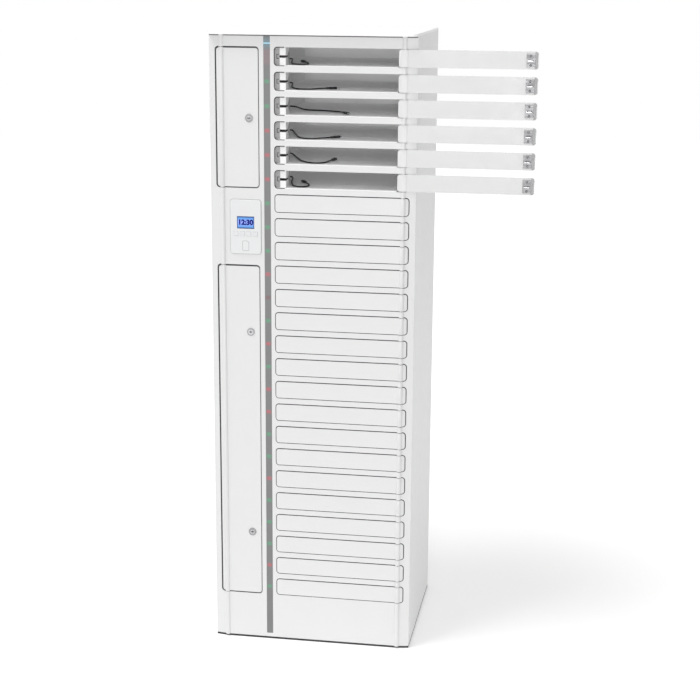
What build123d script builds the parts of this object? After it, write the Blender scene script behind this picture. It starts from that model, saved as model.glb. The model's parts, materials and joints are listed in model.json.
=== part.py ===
from build123d import *
import os
from math import cos, radians, tan

# Driving dimensions (millimetres). +X is to the right, +Y to the back, +Z up.
# The origin is on the floor, under the middle of the cabinet.
width = 560.0
depth = 475.0
height = 1720.0
roof_thickness = 7.0
roof_overhang = 16.0
roof_corner_r = 14.0
plinth_height = 6.0
plinth_inset = 14.0
plinth_corner_r = 10.0
roof_edge = 1.2
sheet = 2.0
panel_sheet = 1.5
liner_sheet = 1.5

# Folded edge of the front: a hinge barrel stands along each side, and a wing leans back from it
hinge_from_side = 34.0
hinge_inset = 1.0
barrel_r = 6.5
barrel_flat = 2.2
shoulder_angle = 22.0
rod_r = 1.5
rod_clearance = 0.05
wing_angle = 10.0

# Bays
bay_count = 24
open_bays = 6
bay_rail = 16.0
first_window_bottom = 137.0
top_margin = 39.0
window_from_strip = 10.7
window_wing = 16.8
window_corner_r = 8.8
door_gap = 1.6
door_flange_depth = 9.0
bay_depth = 414.0
floor_rise = 2.0
shelf_flange = 12.0
shelf_clearance = 0.3
swing_room = 2.5

# Service side
service_window_from_strip = 12.8
upper_window_height = 374.5
service_windows_apart = 211.5
service_flange_depth = 12.0
service_flange_inset = 1.3
stile_flange_depth = 13.5
cam_from_edge = 25.6
cam_from_end = 187.0

# Indicator strip between the two halves of the front
strip_from_side = 149.0
strip_opening = 18.0
strip_bottom = 17.0
strip_gap = 0.2
strip_wall = 2.5
strip_depth = 10.0
light_size = 6.0
light_thickness = 1.5
light_standoff = 2.0
board_thickness = 1.6
board_end_gap = 2.0

# Locks of the bays
striker_width = 22.0
striker_margin = 7.0
striker_thickness = 1.5
striker_from_edge = 9.7
tongue_width = 14.0
tongue_thickness = 2.5
tongue_length = 18.0
lock_nose_width = 16.0
lock_nose_gap = 2.5
lock_body_setback = 6.0
lock_depth = 54.0
lock_slot = 4.5
lock_slot_depth = 25.0
slot_margin = 1.5
lock_clearance = 0.3

# Cam locks of the service doors
cam_barrel_r = 9.5
cam_flange_r = 11.0
cam_flange_thickness = 1.5
cam_plug_r = 7.0
cam_plug_clearance = 0.05
cam_plug_proud = 0.6
cam_arm_width = 14.0
cam_arm_length = 38.0
cam_arm_thickness = 2.5
cam_gap = 0.3
key_slot_width = 1.6
key_slot_length = 8.0
key_slot_depth = 5.0

# Control panel
panel_from_strip = 51.5
panel_width = 85.0
panel_from_window = 31.5
panel_height = 148.0
panel_proud = 3.0
panel_corner_r = 7.0
panel_edge = 1.0
panel_lip = 4.0
panel_body_depth = 28.0
display_width = 48.0
display_height = 34.0
display_rise = 69.0
display_recess = 1.5
button_count = 4
button_pitch = 18.0
button_size = 12.0
button_rise = 55.0
button_gap = 0.3
button_proud = 0.8
button_depth = 6.0
button_travel = 1.0
button_corner_r = 1.5
button_edge = 0.5

# Wiring
grommet_y = 180.0
grommet_rise = 8.0
grommet_r = 5.5
grommet_lip = 1.8
grommet_flange = 1.5
grommet_clearance = 0.1
lead_r = 2.0
lead_clearance = 0.3
duct_width = 22.0
duct_depth = 38.0

# Things derived from the driving dimensions
front = -depth / 2
back = depth / 2
half_width = width / 2
hinge_x = half_width - hinge_from_side
strip_left = strip_from_side - half_width
strip_right = strip_left + strip_opening
bay_window_left = strip_right + window_from_strip
service_window_right = strip_left - service_window_from_strip
panel_x = strip_left - panel_from_strip
body_bottom = plinth_height
body_top = height - roof_thickness
hinge_y = front + hinge_inset
bore_r = rod_r + rod_clearance
wing_reach = half_width - hinge_x
wing_back = wing_reach * tan(radians(wing_angle)) + sheet / cos(radians(wing_angle))
inner_half = half_width - panel_sheet
window_reach = hinge_x - bay_window_left
service_reach = hinge_x + service_window_right
first_window_top = height - top_margin
bay_pitch = (first_window_top + bay_rail - first_window_bottom) / bay_count
bay_window_height = bay_pitch - bay_rail
striker_height = bay_window_height - 2 * striker_margin
upper_window_bottom = first_window_top - upper_window_height
lower_window_top = upper_window_bottom - service_windows_apart
panel_bottom = lower_window_top + panel_from_window
display_bottom = panel_bottom + display_rise
button_z = panel_bottom + button_rise
windows_middle = (first_window_bottom + first_window_top) / 2
floors_middle = windows_middle - bay_window_height / 2 + floor_rise
post_edge = bay_window_left + window_corner_r
wing_post_edge = hinge_x + window_wing - window_corner_r
door_height = bay_window_height - 2 * door_gap
door_reach = window_reach - door_gap
flap_reach = window_wing - door_gap
divider_right = bay_window_left + shelf_clearance
divider_left = divider_right - liner_sheet
service_back = back - panel_sheet
cut_depth = barrel_r + hinge_inset + barrel_r + wing_back
flat_rise = barrel_flat + hinge_inset - sheet
flat_half = (barrel_flat + hinge_inset - sheet / cos(radians(wing_angle))) / tan(radians(wing_angle))
flat_foot = flat_half + flat_rise / tan(radians(shoulder_angle))
flat_middle = barrel_flat - flat_rise / 2


def window_bottom(number):
    """Lower edge of a bay's window, counted from the top."""
    return first_window_bottom + (bay_count - number) * bay_pitch


def floor_top(number):
    return window_bottom(number) + floor_rise


def save(name, solids):
    """Write one solid, or a group of solids, as one named piece."""
    piece = solids[0].part if len(solids) == 1 else Compound(children=[one.part for one in solids])
    piece.label = name
    export_step(piece, f"parts/{name}.step")


def skin_outline(side, leaf_reach, wing_end):
    """Outline of the folded front sheet from above, about the hinge axis: leaf inwards, wing outwards."""
    wing_front = wing_end * tan(radians(wing_angle)) - hinge_inset
    fold = sheet * tan(radians(wing_angle / 2))
    return [
        (-side * leaf_reach, -hinge_inset),
        (0, -hinge_inset),
        (side * wing_end, wing_front),
        (side * wing_end, wing_front + sheet / cos(radians(wing_angle))),
        (-side * fold, sheet - hinge_inset),
        (-side * leaf_reach, sheet - hinge_inset),
    ]


os.makedirs("parts", exist_ok=True)

# Plinth: a shallow pan that stands on the floor and carries the cabinet, with its anchor holes
anchor_spacing_x = width - 160
anchor_spacing_y = 300.0
anchor_r = 5.5
pan_top = 40.0
with BuildPart() as plinth:
    with BuildSketch(Plane.XY):
        RectangleRounded(width - 2 * plinth_inset, depth - 2 * plinth_inset, plinth_corner_r)
    extrude(amount=plinth_height)
    with BuildSketch(Plane.XY.offset(plinth_height)):
        Rectangle(width - 2 * panel_sheet - 2 * shelf_clearance, depth - 2 * plinth_inset)
    extrude(amount=pan_top - plinth_height)
    with BuildSketch(Plane.XY.offset(sheet)):
        Rectangle(width - 2 * plinth_inset - 2 * sheet, depth - 2 * plinth_inset - 2 * sheet)
    extrude(amount=pan_top, mode=Mode.SUBTRACT)
    with Locations(Plane.XY.offset(sheet)):
        with GridLocations(anchor_spacing_x, anchor_spacing_y, 2, 2):
            Hole(anchor_r, depth=sheet)
save("plinth", [plinth])

# Side panels: plain sheets with a return along the back edge
return_depth = 14.0
for side, name in ((-1, "side_panel_left"), (1, "side_panel_right")):
    with BuildPart() as side_panel:
        with BuildSketch(Plane.XY.offset(body_bottom)):
            with BuildLine():
                Polyline(
                    (side * half_width, front + wing_back),
                    (side * half_width, back - panel_sheet),
                    (side * (half_width - return_depth), back - panel_sheet),
                    (side * (half_width - return_depth), back - 2 * panel_sheet),
                    (side * inner_half, back - 2 * panel_sheet),
                    (side * inner_half, front + wing_back),
                    close=True,
                )
            make_face()
        extrude(amount=body_top - body_bottom)
    save(name, [side_panel])

# Back panel: ventilation louvres high and low, wall fixing holes and the mains inlet's cut-out
vent_rows = 6
vent_pitch = 14.0
vent_length = 60.0
vent_width = 5.0
vent_columns = 3
vent_spacing_x = 120.0
vent_z = (260.0, height - 160)
wall_hole_spacing = width - 160
wall_hole_r = 4.5
wall_hole_z = height - 60
inlet_x = 80 - half_width
inlet_z = 80.0
inlet_width = 28.0
inlet_height = 48.0
inlet_gap = 0.3
with BuildPart() as back_panel:
    with BuildSketch(Plane.XZ.offset(-back + panel_sheet)):
        with Locations((0, (body_bottom + body_top) / 2)):
            Rectangle(width, body_top - body_bottom)
        for vent_height in vent_z:
            with Locations((0, vent_height)):
                with GridLocations(vent_spacing_x, vent_pitch, vent_columns, vent_rows):
                    SlotOverall(vent_length, vent_width, mode=Mode.SUBTRACT)
        with Locations((0, wall_hole_z)):
            with GridLocations(wall_hole_spacing, 1, 2, 1):
                Circle(wall_hole_r, mode=Mode.SUBTRACT)
        with Locations((inlet_x, inlet_z)):
            Rectangle(inlet_width + 2 * inlet_gap, inlet_height + 2 * inlet_gap, mode=Mode.SUBTRACT)
    extrude(amount=-panel_sheet)
save("back_panel", [back_panel])

# Roof: a folded lid that overhangs the front
with BuildPart() as roof:
    with BuildSketch(Plane.XY.offset(body_top)):
        with Locations((0, -roof_overhang / 2)):
            Rectangle(width, depth + roof_overhang)
    extrude(amount=roof_thickness)
    fillet(roof.edges().filter_by(Axis.Z).group_by(Axis.Y)[0], roof_corner_r)
    fillet(roof.edges().filter_by(Axis.Z).group_by(Axis.Y)[-1], sheet)
    chamfer(roof.faces().sort_by(Axis.Z)[-1].edges(), roof_edge)
    with BuildSketch(Plane.XY.offset(body_top)):
        with Locations((0, -roof_overhang / 2)):
            RectangleRounded(width - 2 * sheet, depth + roof_overhang - 2 * sheet, roof_corner_r - sheet)
    extrude(amount=roof_thickness - sheet, mode=Mode.SUBTRACT)
save("roof", [roof])

# Bay front: the folded sheet with a window for each door, as welded posts and rails
with BuildPart() as bay_front:
    with BuildSketch(Plane(origin=(hinge_x, hinge_y, body_bottom))):
        with BuildLine():
            Polyline(*skin_outline(1, hinge_x - strip_right, wing_reach), close=True)
        make_face()
        Circle(barrel_r)
        with Locations((0, barrel_flat + barrel_r / 2)):
            Rectangle(2 * barrel_r, barrel_r, mode=Mode.SUBTRACT)
        with Locations((0, flat_middle)):
            Trapezoid(2 * flat_foot, flat_rise, shoulder_angle)
        Circle(bore_r, mode=Mode.SUBTRACT)
    extrude(amount=body_top - body_bottom)
    with BuildSketch(Plane.XZ.offset(-front)):
        with Locations(((strip_left + strip_right) / 2, (body_bottom + strip_bottom) / 2)):
            Rectangle(strip_right - strip_left, strip_bottom - body_bottom)
    extrude(amount=-sheet)
    with BuildSketch(Plane.XZ.offset(-front + barrel_r)):
        with Locations(((bay_window_left + hinge_x + window_wing) / 2, windows_middle)):
            with GridLocations(1, bay_pitch, 1, bay_count):
                RectangleRounded(window_reach + window_wing, bay_window_height, window_corner_r)
    extrude(amount=-cut_depth, mode=Mode.SUBTRACT)
    split(bisect_by=Plane.YZ.offset(post_edge), keep=Keep.BOTH)
    split(bisect_by=Plane.YZ.offset(wing_post_edge), keep=Keep.BOTH)
save("bay_front", [bay_front])

# Service front: the same folded sheet with two tall windows and the control panel's cut-out
service_post_edge = service_window_right - window_corner_r
service_windows = ((first_window_bottom, lower_window_top), (upper_window_bottom, first_window_top))
with BuildPart() as service_front:
    with BuildSketch(Plane(origin=(-hinge_x, hinge_y, body_bottom))):
        with BuildLine():
            Polyline(*skin_outline(-1, hinge_x + strip_left, wing_reach), close=True)
        make_face()
        Circle(barrel_r)
        with Locations((0, barrel_flat + barrel_r / 2)):
            Rectangle(2 * barrel_r, barrel_r, mode=Mode.SUBTRACT)
        with Locations((0, flat_middle)):
            Trapezoid(2 * flat_foot, flat_rise, shoulder_angle)
        Circle(bore_r, mode=Mode.SUBTRACT)
    extrude(amount=body_top - body_bottom)
    with BuildSketch(Plane.XZ.offset(-front + barrel_r)):
        for bottom, top in service_windows:
            with Locations(((service_window_right - hinge_x - window_wing) / 2, (bottom + top) / 2)):
                RectangleRounded(service_reach + window_wing, top - bottom, window_corner_r)
    extrude(amount=-cut_depth, mode=Mode.SUBTRACT)
    for bottom, top in service_windows:
        with BuildSketch(Plane.XY.offset(bottom)):
            with Locations((service_window_right + panel_sheet / 2, front + stile_flange_depth / 2)):
                Rectangle(panel_sheet, stile_flange_depth)
        extrude(amount=top - bottom)
    with BuildSketch(Plane.XZ.offset(-front)):
        with Locations((panel_x, panel_bottom + panel_height / 2)):
            Rectangle(panel_width - 2 * panel_lip, panel_height - 2 * panel_lip)
    extrude(amount=-sheet, mode=Mode.SUBTRACT)
    split(bisect_by=Plane.YZ.offset(-wing_post_edge), keep=Keep.BOTH)
    split(bisect_by=Plane.YZ.offset(service_post_edge), keep=Keep.BOTH)
save("service_front", [service_front])

# Hinge rods: one through the barrels of each side
rod_end = 20.0
with BuildPart() as hinge_rods:
    with BuildSketch(Plane.XY.offset(body_bottom + rod_end)):
        with Locations((-hinge_x, hinge_y), (hinge_x, hinge_y)):
            Circle(rod_r)
    extrude(amount=body_top - body_bottom - 2 * rod_end)
save("hinge_rods", [hinge_rods])

# Indicator strip: a diffuser channel in front of a long circuit board with its lights
strip_x = (strip_left + strip_right) / 2
strip_width = strip_right - strip_left - 2 * strip_gap
strip_top = body_top - strip_gap
with BuildPart() as indicator_strip:
    with BuildSketch(Plane.XY.offset(strip_bottom + strip_gap)):
        with Locations((strip_x, front + strip_depth / 2)):
            Rectangle(strip_width, strip_depth)
        with Locations((strip_x, front + strip_wall + strip_depth / 2)):
            Rectangle(strip_width - 2 * panel_sheet, strip_depth, mode=Mode.SUBTRACT)
    extrude(amount=strip_top - strip_bottom - strip_gap)
save("indicator_strip", [indicator_strip])

beacon_z = height - 29
board_front = front + strip_wall + light_standoff + light_thickness
board_width = strip_width - 2 * panel_sheet - 2 * strip_gap
with BuildPart() as indicator_board:
    with BuildSketch(Plane.XZ.offset(-board_front)):
        with Locations((strip_x, (strip_bottom + strip_top) / 2)):
            Rectangle(board_width, strip_top - strip_bottom - 2 * board_end_gap)
    extrude(amount=-board_thickness)
    with BuildSketch(Plane.XZ.offset(-board_front)):
        with Locations((strip_x, beacon_z)):
            Rectangle(board_width - light_thickness, light_size)
        with Locations((strip_x, windows_middle)):
            with GridLocations(1, bay_pitch, 1, bay_count):
                Rectangle(light_size, light_size)
    extrude(amount=light_thickness)
save("indicator_board", [indicator_board])

# Divider between the bays and the service side, with a hole for each charging lead
with BuildPart() as divider:
    with BuildSketch(Plane.YZ.offset(divider_left)):
        with Locations((sheet / 2 - panel_sheet, (pan_top + body_top) / 2)):
            Rectangle(depth - sheet - 2 * panel_sheet, body_top - pan_top - 2 * shelf_clearance)
        with Locations((front + grommet_y, floors_middle + grommet_rise)):
            with GridLocations(1, bay_pitch, 1, bay_count):
                Circle(grommet_r, mode=Mode.SUBTRACT)
    extrude(amount=liner_sheet)
save("divider", [divider])

# Lead grommets: soft rings that line the divider's holes
grommet_places = [
    (front + grommet_y, floor_top(number) + grommet_rise) for number in range(1, bay_count + 1)
]
with BuildPart() as lead_grommets:
    with BuildSketch(Plane.YZ.offset(divider_right)):
        with Locations(*grommet_places):
            Circle(grommet_r + grommet_flange)
    extrude(amount=grommet_lip)
    with BuildSketch(Plane.YZ.offset(divider_left)):
        with Locations(*grommet_places):
            Circle(grommet_r - grommet_clearance)
    extrude(amount=liner_sheet)
    with BuildSketch(Plane.YZ.offset(divider_left)):
        with Locations(*grommet_places):
            Circle(lead_r + lead_clearance)
    extrude(amount=liner_sheet + grommet_lip, mode=Mode.SUBTRACT)
save("lead_grommets", [lead_grommets])

# Bay shelves: folded trays, cleared at the front corner for the door's inward swing
bay_left = divider_right + shelf_clearance
bay_right = inner_half - shelf_clearance
shelf_front = front + sheet + shelf_clearance
relief = flap_reach + swing_room
shelf_middle = ((bay_left + bay_right) / 2, floors_middle + bay_pitch / 2 - shelf_flange / 2)
with BuildPart() as bay_shelves:
    with BuildSketch(Plane.XZ.offset(-shelf_front)):
        with Locations(shelf_middle):
            with GridLocations(1, bay_pitch, 1, bay_count + 1):
                Rectangle(bay_right - bay_left, shelf_flange)
    extrude(amount=-bay_depth)
    with BuildSketch(Plane.XZ.offset(-shelf_front - liner_sheet)):
        with Locations((shelf_middle[0], shelf_middle[1] - liner_sheet)):
            with GridLocations(1, bay_pitch, 1, bay_count + 1):
                Rectangle(bay_right - bay_left - 2 * liner_sheet, shelf_flange)
    extrude(amount=2 * liner_sheet - bay_depth, mode=Mode.SUBTRACT)
    with BuildSketch(Plane.XY.offset(floor_top(bay_count) - shelf_flange)):
        with Locations(((hinge_x - relief + bay_right) / 2, hinge_y + relief / 2)):
            Rectangle(bay_right - hinge_x + relief, relief)
    extrude(amount=body_top, mode=Mode.SUBTRACT)
save("bay_shelves", [bay_shelves])

# Back wall of the bays
bay_back = shelf_front + bay_depth
with BuildPart() as bay_back_wall:
    with BuildSketch(Plane.XZ.offset(-bay_back - shelf_clearance)):
        with Locations(((bay_left + bay_right) / 2, (pan_top + body_top) / 2)):
            Rectangle(bay_right - bay_left, body_top - pan_top - 2 * shelf_clearance)
    extrude(amount=-liner_sheet)
save("bay_back_wall", [bay_back_wall])

# Bay locks: an electric latch on the divider beside each window, with a slot for the door's tongue
tongue_x = bay_window_left + door_gap + striker_from_edge + striker_width / 2
nose_left = tongue_x - lock_nose_width / 2
nose_front = front + sheet + striker_thickness + lock_nose_gap
lock_height = bay_window_height - floor_rise - 2 * lock_clearance
locks_middle = floors_middle + lock_clearance + lock_height / 2
with BuildPart() as bay_locks:
    with BuildSketch(Plane.XY.offset(first_window_bottom)):
        with BuildLine():
            Polyline(
                (nose_left, nose_front),
                (nose_left + lock_nose_width, nose_front),
                (nose_left + lock_nose_width, nose_front + lock_depth),
                (divider_right, nose_front + lock_depth),
                (divider_right, nose_front + lock_body_setback),
                (nose_left, nose_front + lock_body_setback),
                close=True,
            )
        make_face()
    extrude(amount=first_window_top - first_window_bottom)
    with BuildSketch(Plane.XZ.offset(-nose_front)):
        with Locations((tongue_x, locks_middle)):
            with GridLocations(1, bay_pitch, 1, bay_count):
                Rectangle(2 * lock_depth, lock_height)
    extrude(amount=-lock_depth, mode=Mode.INTERSECT)
    with BuildSketch(Plane.XZ.offset(-nose_front)):
        with Locations((tongue_x, windows_middle)):
            with GridLocations(1, bay_pitch, 1, bay_count):
                Rectangle(lock_nose_width + 2 * slot_margin, lock_slot)
    extrude(amount=-lock_slot_depth, mode=Mode.SUBTRACT)
save("bay_locks", [bay_locks])

# Bay doors: flap, barrel and leaf in one folded sheet, with a striker on the inner face
for number in range(1, bay_count + 1):
    facing = -1 if number <= open_bays else 1
    door_bottom = window_bottom(number) + door_gap
    middle_z = door_bottom + door_height / 2
    with BuildPart() as bay_door:
        with BuildSketch(Plane(origin=(hinge_x, hinge_y, door_bottom), x_dir=(facing, 0, 0))):
            with BuildLine():
                Polyline(*skin_outline(1, door_reach, flap_reach), close=True)
            make_face()
            Circle(barrel_r)
            with Locations((0, barrel_flat + barrel_r / 2)):
                Rectangle(2 * barrel_r, barrel_r, mode=Mode.SUBTRACT)
            with Locations((0, flat_middle)):
                Trapezoid(2 * flat_foot, flat_rise, shoulder_angle)
            Circle(bore_r, mode=Mode.SUBTRACT)
        extrude(amount=door_height)
        ends = bay_door.edges().filter_by(Axis.Y)
        fillet(ends.group_by(Axis.X)[0] + ends.group_by(Axis.X)[-1], window_corner_r - door_gap)
        flange_bottom = Plane(
            origin=(hinge_x, hinge_y, door_bottom + window_corner_r), x_dir=(facing, 0, 0)
        )
        with BuildSketch(flange_bottom):
            with Locations((-door_reach + panel_sheet / 2, sheet - hinge_inset + door_flange_depth / 2)):
                Rectangle(panel_sheet, door_flange_depth)
        extrude(amount=door_height - 2 * window_corner_r)
    with BuildPart() as striker:
        with BuildSketch(Plane(origin=(hinge_x, hinge_y, middle_z), x_dir=(facing, 0, 0))):
            with Locations((tongue_x - hinge_x, sheet - hinge_inset + striker_thickness / 2)):
                Rectangle(striker_width, striker_thickness)
        extrude(amount=striker_height / 2, both=True)
        with BuildSketch(Plane(origin=(hinge_x, hinge_y, middle_z), x_dir=(facing, 0, 0))):
            tongue_start = sheet - hinge_inset + striker_thickness
            with Locations((tongue_x - hinge_x, tongue_start + tongue_length / 2)):
                Rectangle(tongue_width, tongue_length)
        extrude(amount=tongue_thickness / 2, both=True)
    save(f"bay_door_{number:02d}", [bay_door, striker])

# Service doors with their cam locks
cam_x = service_window_right - door_gap - cam_from_edge
upper_cam_z = (upper_window_bottom + first_window_top) / 2
service_doors = {
    "upper": (upper_window_bottom, first_window_top, [upper_cam_z]),
    "lower": (
        first_window_bottom,
        lower_window_top,
        [lower_window_top - cam_from_end, first_window_bottom + cam_from_end],
    ),
}
barrel_end = stile_flange_depth + cam_gap
for name, (bottom, top, lock_heights) in service_doors.items():
    with BuildPart() as service_door:
        with BuildSketch(Plane(origin=(-hinge_x, hinge_y, bottom + door_gap))):
            with BuildLine():
                Polyline(*skin_outline(-1, service_reach - door_gap, flap_reach), close=True)
            make_face()
            Circle(barrel_r)
            with Locations((0, barrel_flat + barrel_r / 2)):
                Rectangle(2 * barrel_r, barrel_r, mode=Mode.SUBTRACT)
            with Locations((0, flat_middle)):
                Trapezoid(2 * flat_foot, flat_rise, shoulder_angle)
            Circle(bore_r, mode=Mode.SUBTRACT)
        extrude(amount=top - bottom - 2 * door_gap)
        ends = service_door.edges().filter_by(Axis.Y)
        fillet(ends.group_by(Axis.X)[0] + ends.group_by(Axis.X)[-1], window_corner_r - door_gap)
        flange_x = service_window_right - door_gap - service_flange_inset - panel_sheet / 2
        with BuildSketch(Plane.XY.offset(bottom + window_corner_r + door_gap)):
            with Locations((flange_x, front + service_flange_depth / 2)):
                Rectangle(panel_sheet, service_flange_depth)
        extrude(amount=top - bottom - 2 * window_corner_r - 2 * door_gap)
        with BuildSketch(Plane.XZ.offset(-front)):
            with Locations(*[(cam_x, lock_z) for lock_z in lock_heights]):
                Circle(cam_barrel_r + cam_plug_clearance)
        extrude(amount=-sheet, mode=Mode.SUBTRACT)
    with BuildPart() as cam_barrels:
        spots = [(cam_x, lock_z) for lock_z in lock_heights]
        with BuildSketch(Plane.XZ.offset(-front)):
            with Locations(*spots):
                Circle(cam_flange_r)
        extrude(amount=cam_flange_thickness)
        with BuildSketch(Plane.XZ.offset(-front)):
            with Locations(*spots):
                Circle(cam_barrel_r)
        extrude(amount=-barrel_end)
        with BuildSketch(Plane.XZ.offset(-front + cam_flange_thickness)):
            with Locations(*spots):
                Circle(cam_plug_r + cam_plug_clearance)
        extrude(amount=-barrel_end - cam_flange_thickness, mode=Mode.SUBTRACT)
    save(f"service_door_{name}", [service_door, cam_barrels])

# Cam locks: key plug and the arm on its inner end, at rest standing up, clear of the stile
cam_heights = [
    z for _, _, lock_heights in service_doors.values() for z in lock_heights
]
plug_front = front - cam_flange_thickness - cam_plug_proud
cam_start = front + barrel_end + cam_gap
for name, lock_z in zip(("upper", "middle", "lower"), cam_heights):
    with BuildPart() as cam_lock:
        with BuildSketch(Plane.XZ.offset(-plug_front)):
            with Locations((cam_x, lock_z)):
                Circle(cam_plug_r)
        extrude(amount=plug_front - cam_start - cam_arm_thickness)
        with BuildSketch(Plane.XZ.offset(-cam_start)):
            with Locations((cam_x, lock_z + (cam_arm_length - cam_arm_width / 2) / 2)):
                SlotOverall(cam_arm_length + cam_arm_width / 2, cam_arm_width, rotation=90)
        extrude(amount=-cam_arm_thickness)
        with BuildSketch(Plane.XZ.offset(-plug_front)):
            with Locations((cam_x, lock_z)):
                Rectangle(key_slot_width, key_slot_length)
        extrude(amount=-key_slot_depth, mode=Mode.SUBTRACT)
    save(f"cam_lock_{name}", [cam_lock])

# Control panel: raised face, box behind the sheet, display recess and button pockets
panel_middle = panel_bottom + panel_height / 2
display_middle = display_bottom + display_height / 2
pocket_depth = button_depth - button_proud + button_travel + button_gap
with BuildPart() as panel_housing:
    with BuildSketch(Plane.XZ.offset(-front)):
        with Locations((panel_x, panel_middle)):
            RectangleRounded(panel_width, panel_height, panel_corner_r)
    extrude(amount=panel_proud)
    chamfer(panel_housing.faces().sort_by(Axis.Y)[0].edges(), panel_edge)
    with BuildSketch(Plane.XZ.offset(-front)):
        with Locations((panel_x, panel_middle)):
            Rectangle(
                panel_width - 2 * panel_lip - 2 * button_gap,
                panel_height - 2 * panel_lip - 2 * button_gap,
            )
    extrude(amount=-panel_body_depth)
    with BuildSketch(Plane.XZ.offset(-front + panel_proud)):
        with Locations((panel_x, display_middle)):
            Rectangle(display_width, display_height)
    extrude(amount=-display_recess, mode=Mode.SUBTRACT)
    with BuildSketch(Plane.XZ.offset(-front + panel_proud)):
        with Locations((panel_x, button_z)):
            with GridLocations(button_pitch, 1, button_count, 1):
                Rectangle(button_size + 2 * button_gap, button_size + 2 * button_gap)
    extrude(amount=-pocket_depth, mode=Mode.SUBTRACT)
save("panel_housing", [panel_housing])

with BuildPart() as display:
    with BuildSketch(Plane.XZ.offset(-front + panel_proud - display_recess)):
        with Locations((panel_x, display_middle)):
            Rectangle(display_width - 2 * button_gap, display_height - 2 * button_gap)
    extrude(amount=display_recess)
save("display", [display])

button_front = front - panel_proud - button_proud
for place in range(button_count):
    button_x = panel_x + (place - (button_count - 1) / 2) * button_pitch
    with BuildPart() as button:
        with BuildSketch(Plane.XZ.offset(-button_front)):
            with Locations((button_x, button_z)):
                RectangleRounded(button_size, button_size, button_corner_r)
        extrude(amount=-button_depth)
        chamfer(button.faces().sort_by(Axis.Y)[0].edges(), button_edge)
    save(f"panel_button_{place + 1}", [button])

# Service side interior: partitions, socket strips, adapters, controller, duct and mains inlet
service_left = -inner_half + shelf_clearance
service_right = divider_left - shelf_clearance
service_width = service_right - service_left
service_x = (service_left + service_right) / 2
rack_front = front + 118.0
rack_depth = 210.0
rack_count = 6
rack_bottom = 160.0
adapters_per_rack = 4
adapter_width = 32.0
adapter_height = 58.0
adapter_length = 120.0
adapter_corner_r = 5.0
duct_left = service_right - duct_width
rack_right = duct_left - shelf_clearance
rack_x = (service_left + rack_right) / 2
partition_rise = 10.0
partition_z = (lower_window_top + shelf_flange - panel_edge, upper_window_bottom - shelf_flange)
rack_pitch = (partition_z[0] - partition_rise - rack_bottom) / rack_count
strip_z = rack_bottom + rack_count * rack_pitch / 2
socket_count = 12
socket_strip_size = 44.0
socket_strip_length = rack_count * rack_pitch - 36
socket_width = 22.0
socket_height = 28.0
socket_pitch = (socket_strip_length - 60) / socket_count
socket_recess = 14.0
strip_offset = 31.0

with BuildPart() as adapter_racks:
    for level in range(rack_count):
        with BuildSketch(Plane.XY.offset(rack_bottom + level * rack_pitch)):
            with Locations((rack_x, rack_front + rack_depth / 2)):
                Rectangle(rack_right - service_left, rack_depth)
        extrude(amount=liner_sheet)
        with BuildSketch(Plane.XY.offset(rack_bottom + level * rack_pitch)):
            with Locations((rack_x, rack_front + liner_sheet / 2)):
                Rectangle(rack_right - service_left, liner_sheet)
        extrude(amount=shelf_flange)
    for level in partition_z:
        with BuildSketch(Plane.XY.offset(level)):
            with Locations((rack_x, rack_front + rack_depth / 2)):
                Rectangle(rack_right - service_left, rack_depth)
        extrude(amount=liner_sheet)
save("adapter_racks", [adapter_racks])

with BuildPart() as power_adapters:
    for level in range(rack_count):
        seat = rack_bottom + level * rack_pitch + liner_sheet + shelf_clearance
        with BuildSketch(Plane.XY.offset(seat)):
            with Locations((rack_x, rack_front + rack_depth / 2)):
                with GridLocations((rack_right - service_left) / adapters_per_rack, 1, adapters_per_rack, 1):
                    RectangleRounded(adapter_width, adapter_length, adapter_corner_r)
        extrude(amount=adapter_height)
save("power_adapters", [power_adapters])

with BuildPart() as socket_strips:
    for strip_side in (-1, 1):
        strip_middle = rack_x + strip_side * strip_offset
        with BuildSketch(Plane.XZ.offset(-service_back + socket_strip_size)):
            with Locations((strip_middle, strip_z)):
                Rectangle(socket_strip_size, socket_strip_length)
        extrude(amount=-socket_strip_size)
        with BuildSketch(Plane.XZ.offset(-service_back + socket_strip_size)):
            with Locations((strip_middle, strip_z)):
                with GridLocations(1, socket_pitch, 1, socket_count):
                    Rectangle(socket_width, socket_height)
        extrude(amount=-socket_recess, mode=Mode.SUBTRACT)
save("socket_strips", [socket_strips])

controller_width = 120.0
controller_height = 190.0
controller_depth = 60.0
controller_corner_r = 4.0
slot_rows = 5
slot_pitch = 9.0
slot_height = 4.0
slot_length = 72.0
slot_depth = 3.0
slots_rise = 137.0
controller_seat = partition_z[1] + liner_sheet + shelf_clearance
with BuildPart() as controller:
    with BuildSketch(Plane.XY.offset(controller_seat)):
        with Locations((rack_x, rack_front + rack_depth / 2)):
            Rectangle(controller_width, controller_depth)
    extrude(amount=controller_height)
    fillet(controller.edges().filter_by(Axis.Z), controller_corner_r)
    with BuildSketch(Plane.XZ.offset(-rack_front - (rack_depth - controller_depth) / 2)):
        with Locations((rack_x, controller_seat + slots_rise)):
            with GridLocations(1, slot_pitch, 1, slot_rows):
                Rectangle(slot_length, slot_height)
    extrude(amount=-slot_depth, mode=Mode.SUBTRACT)
save("controller", [controller])

with BuildPart() as cable_duct:
    with BuildSketch(Plane.XY.offset(first_window_bottom)):
        with Locations((duct_left + duct_width / 2, front + grommet_y)):
            Rectangle(duct_width, duct_depth)
        with Locations((duct_left + duct_width / 2 + liner_sheet, front + grommet_y)):
            Rectangle(duct_width, duct_depth - 2 * liner_sheet, mode=Mode.SUBTRACT)
    extrude(amount=first_window_top - first_window_bottom)
save("cable_duct", [cable_duct])

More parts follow.
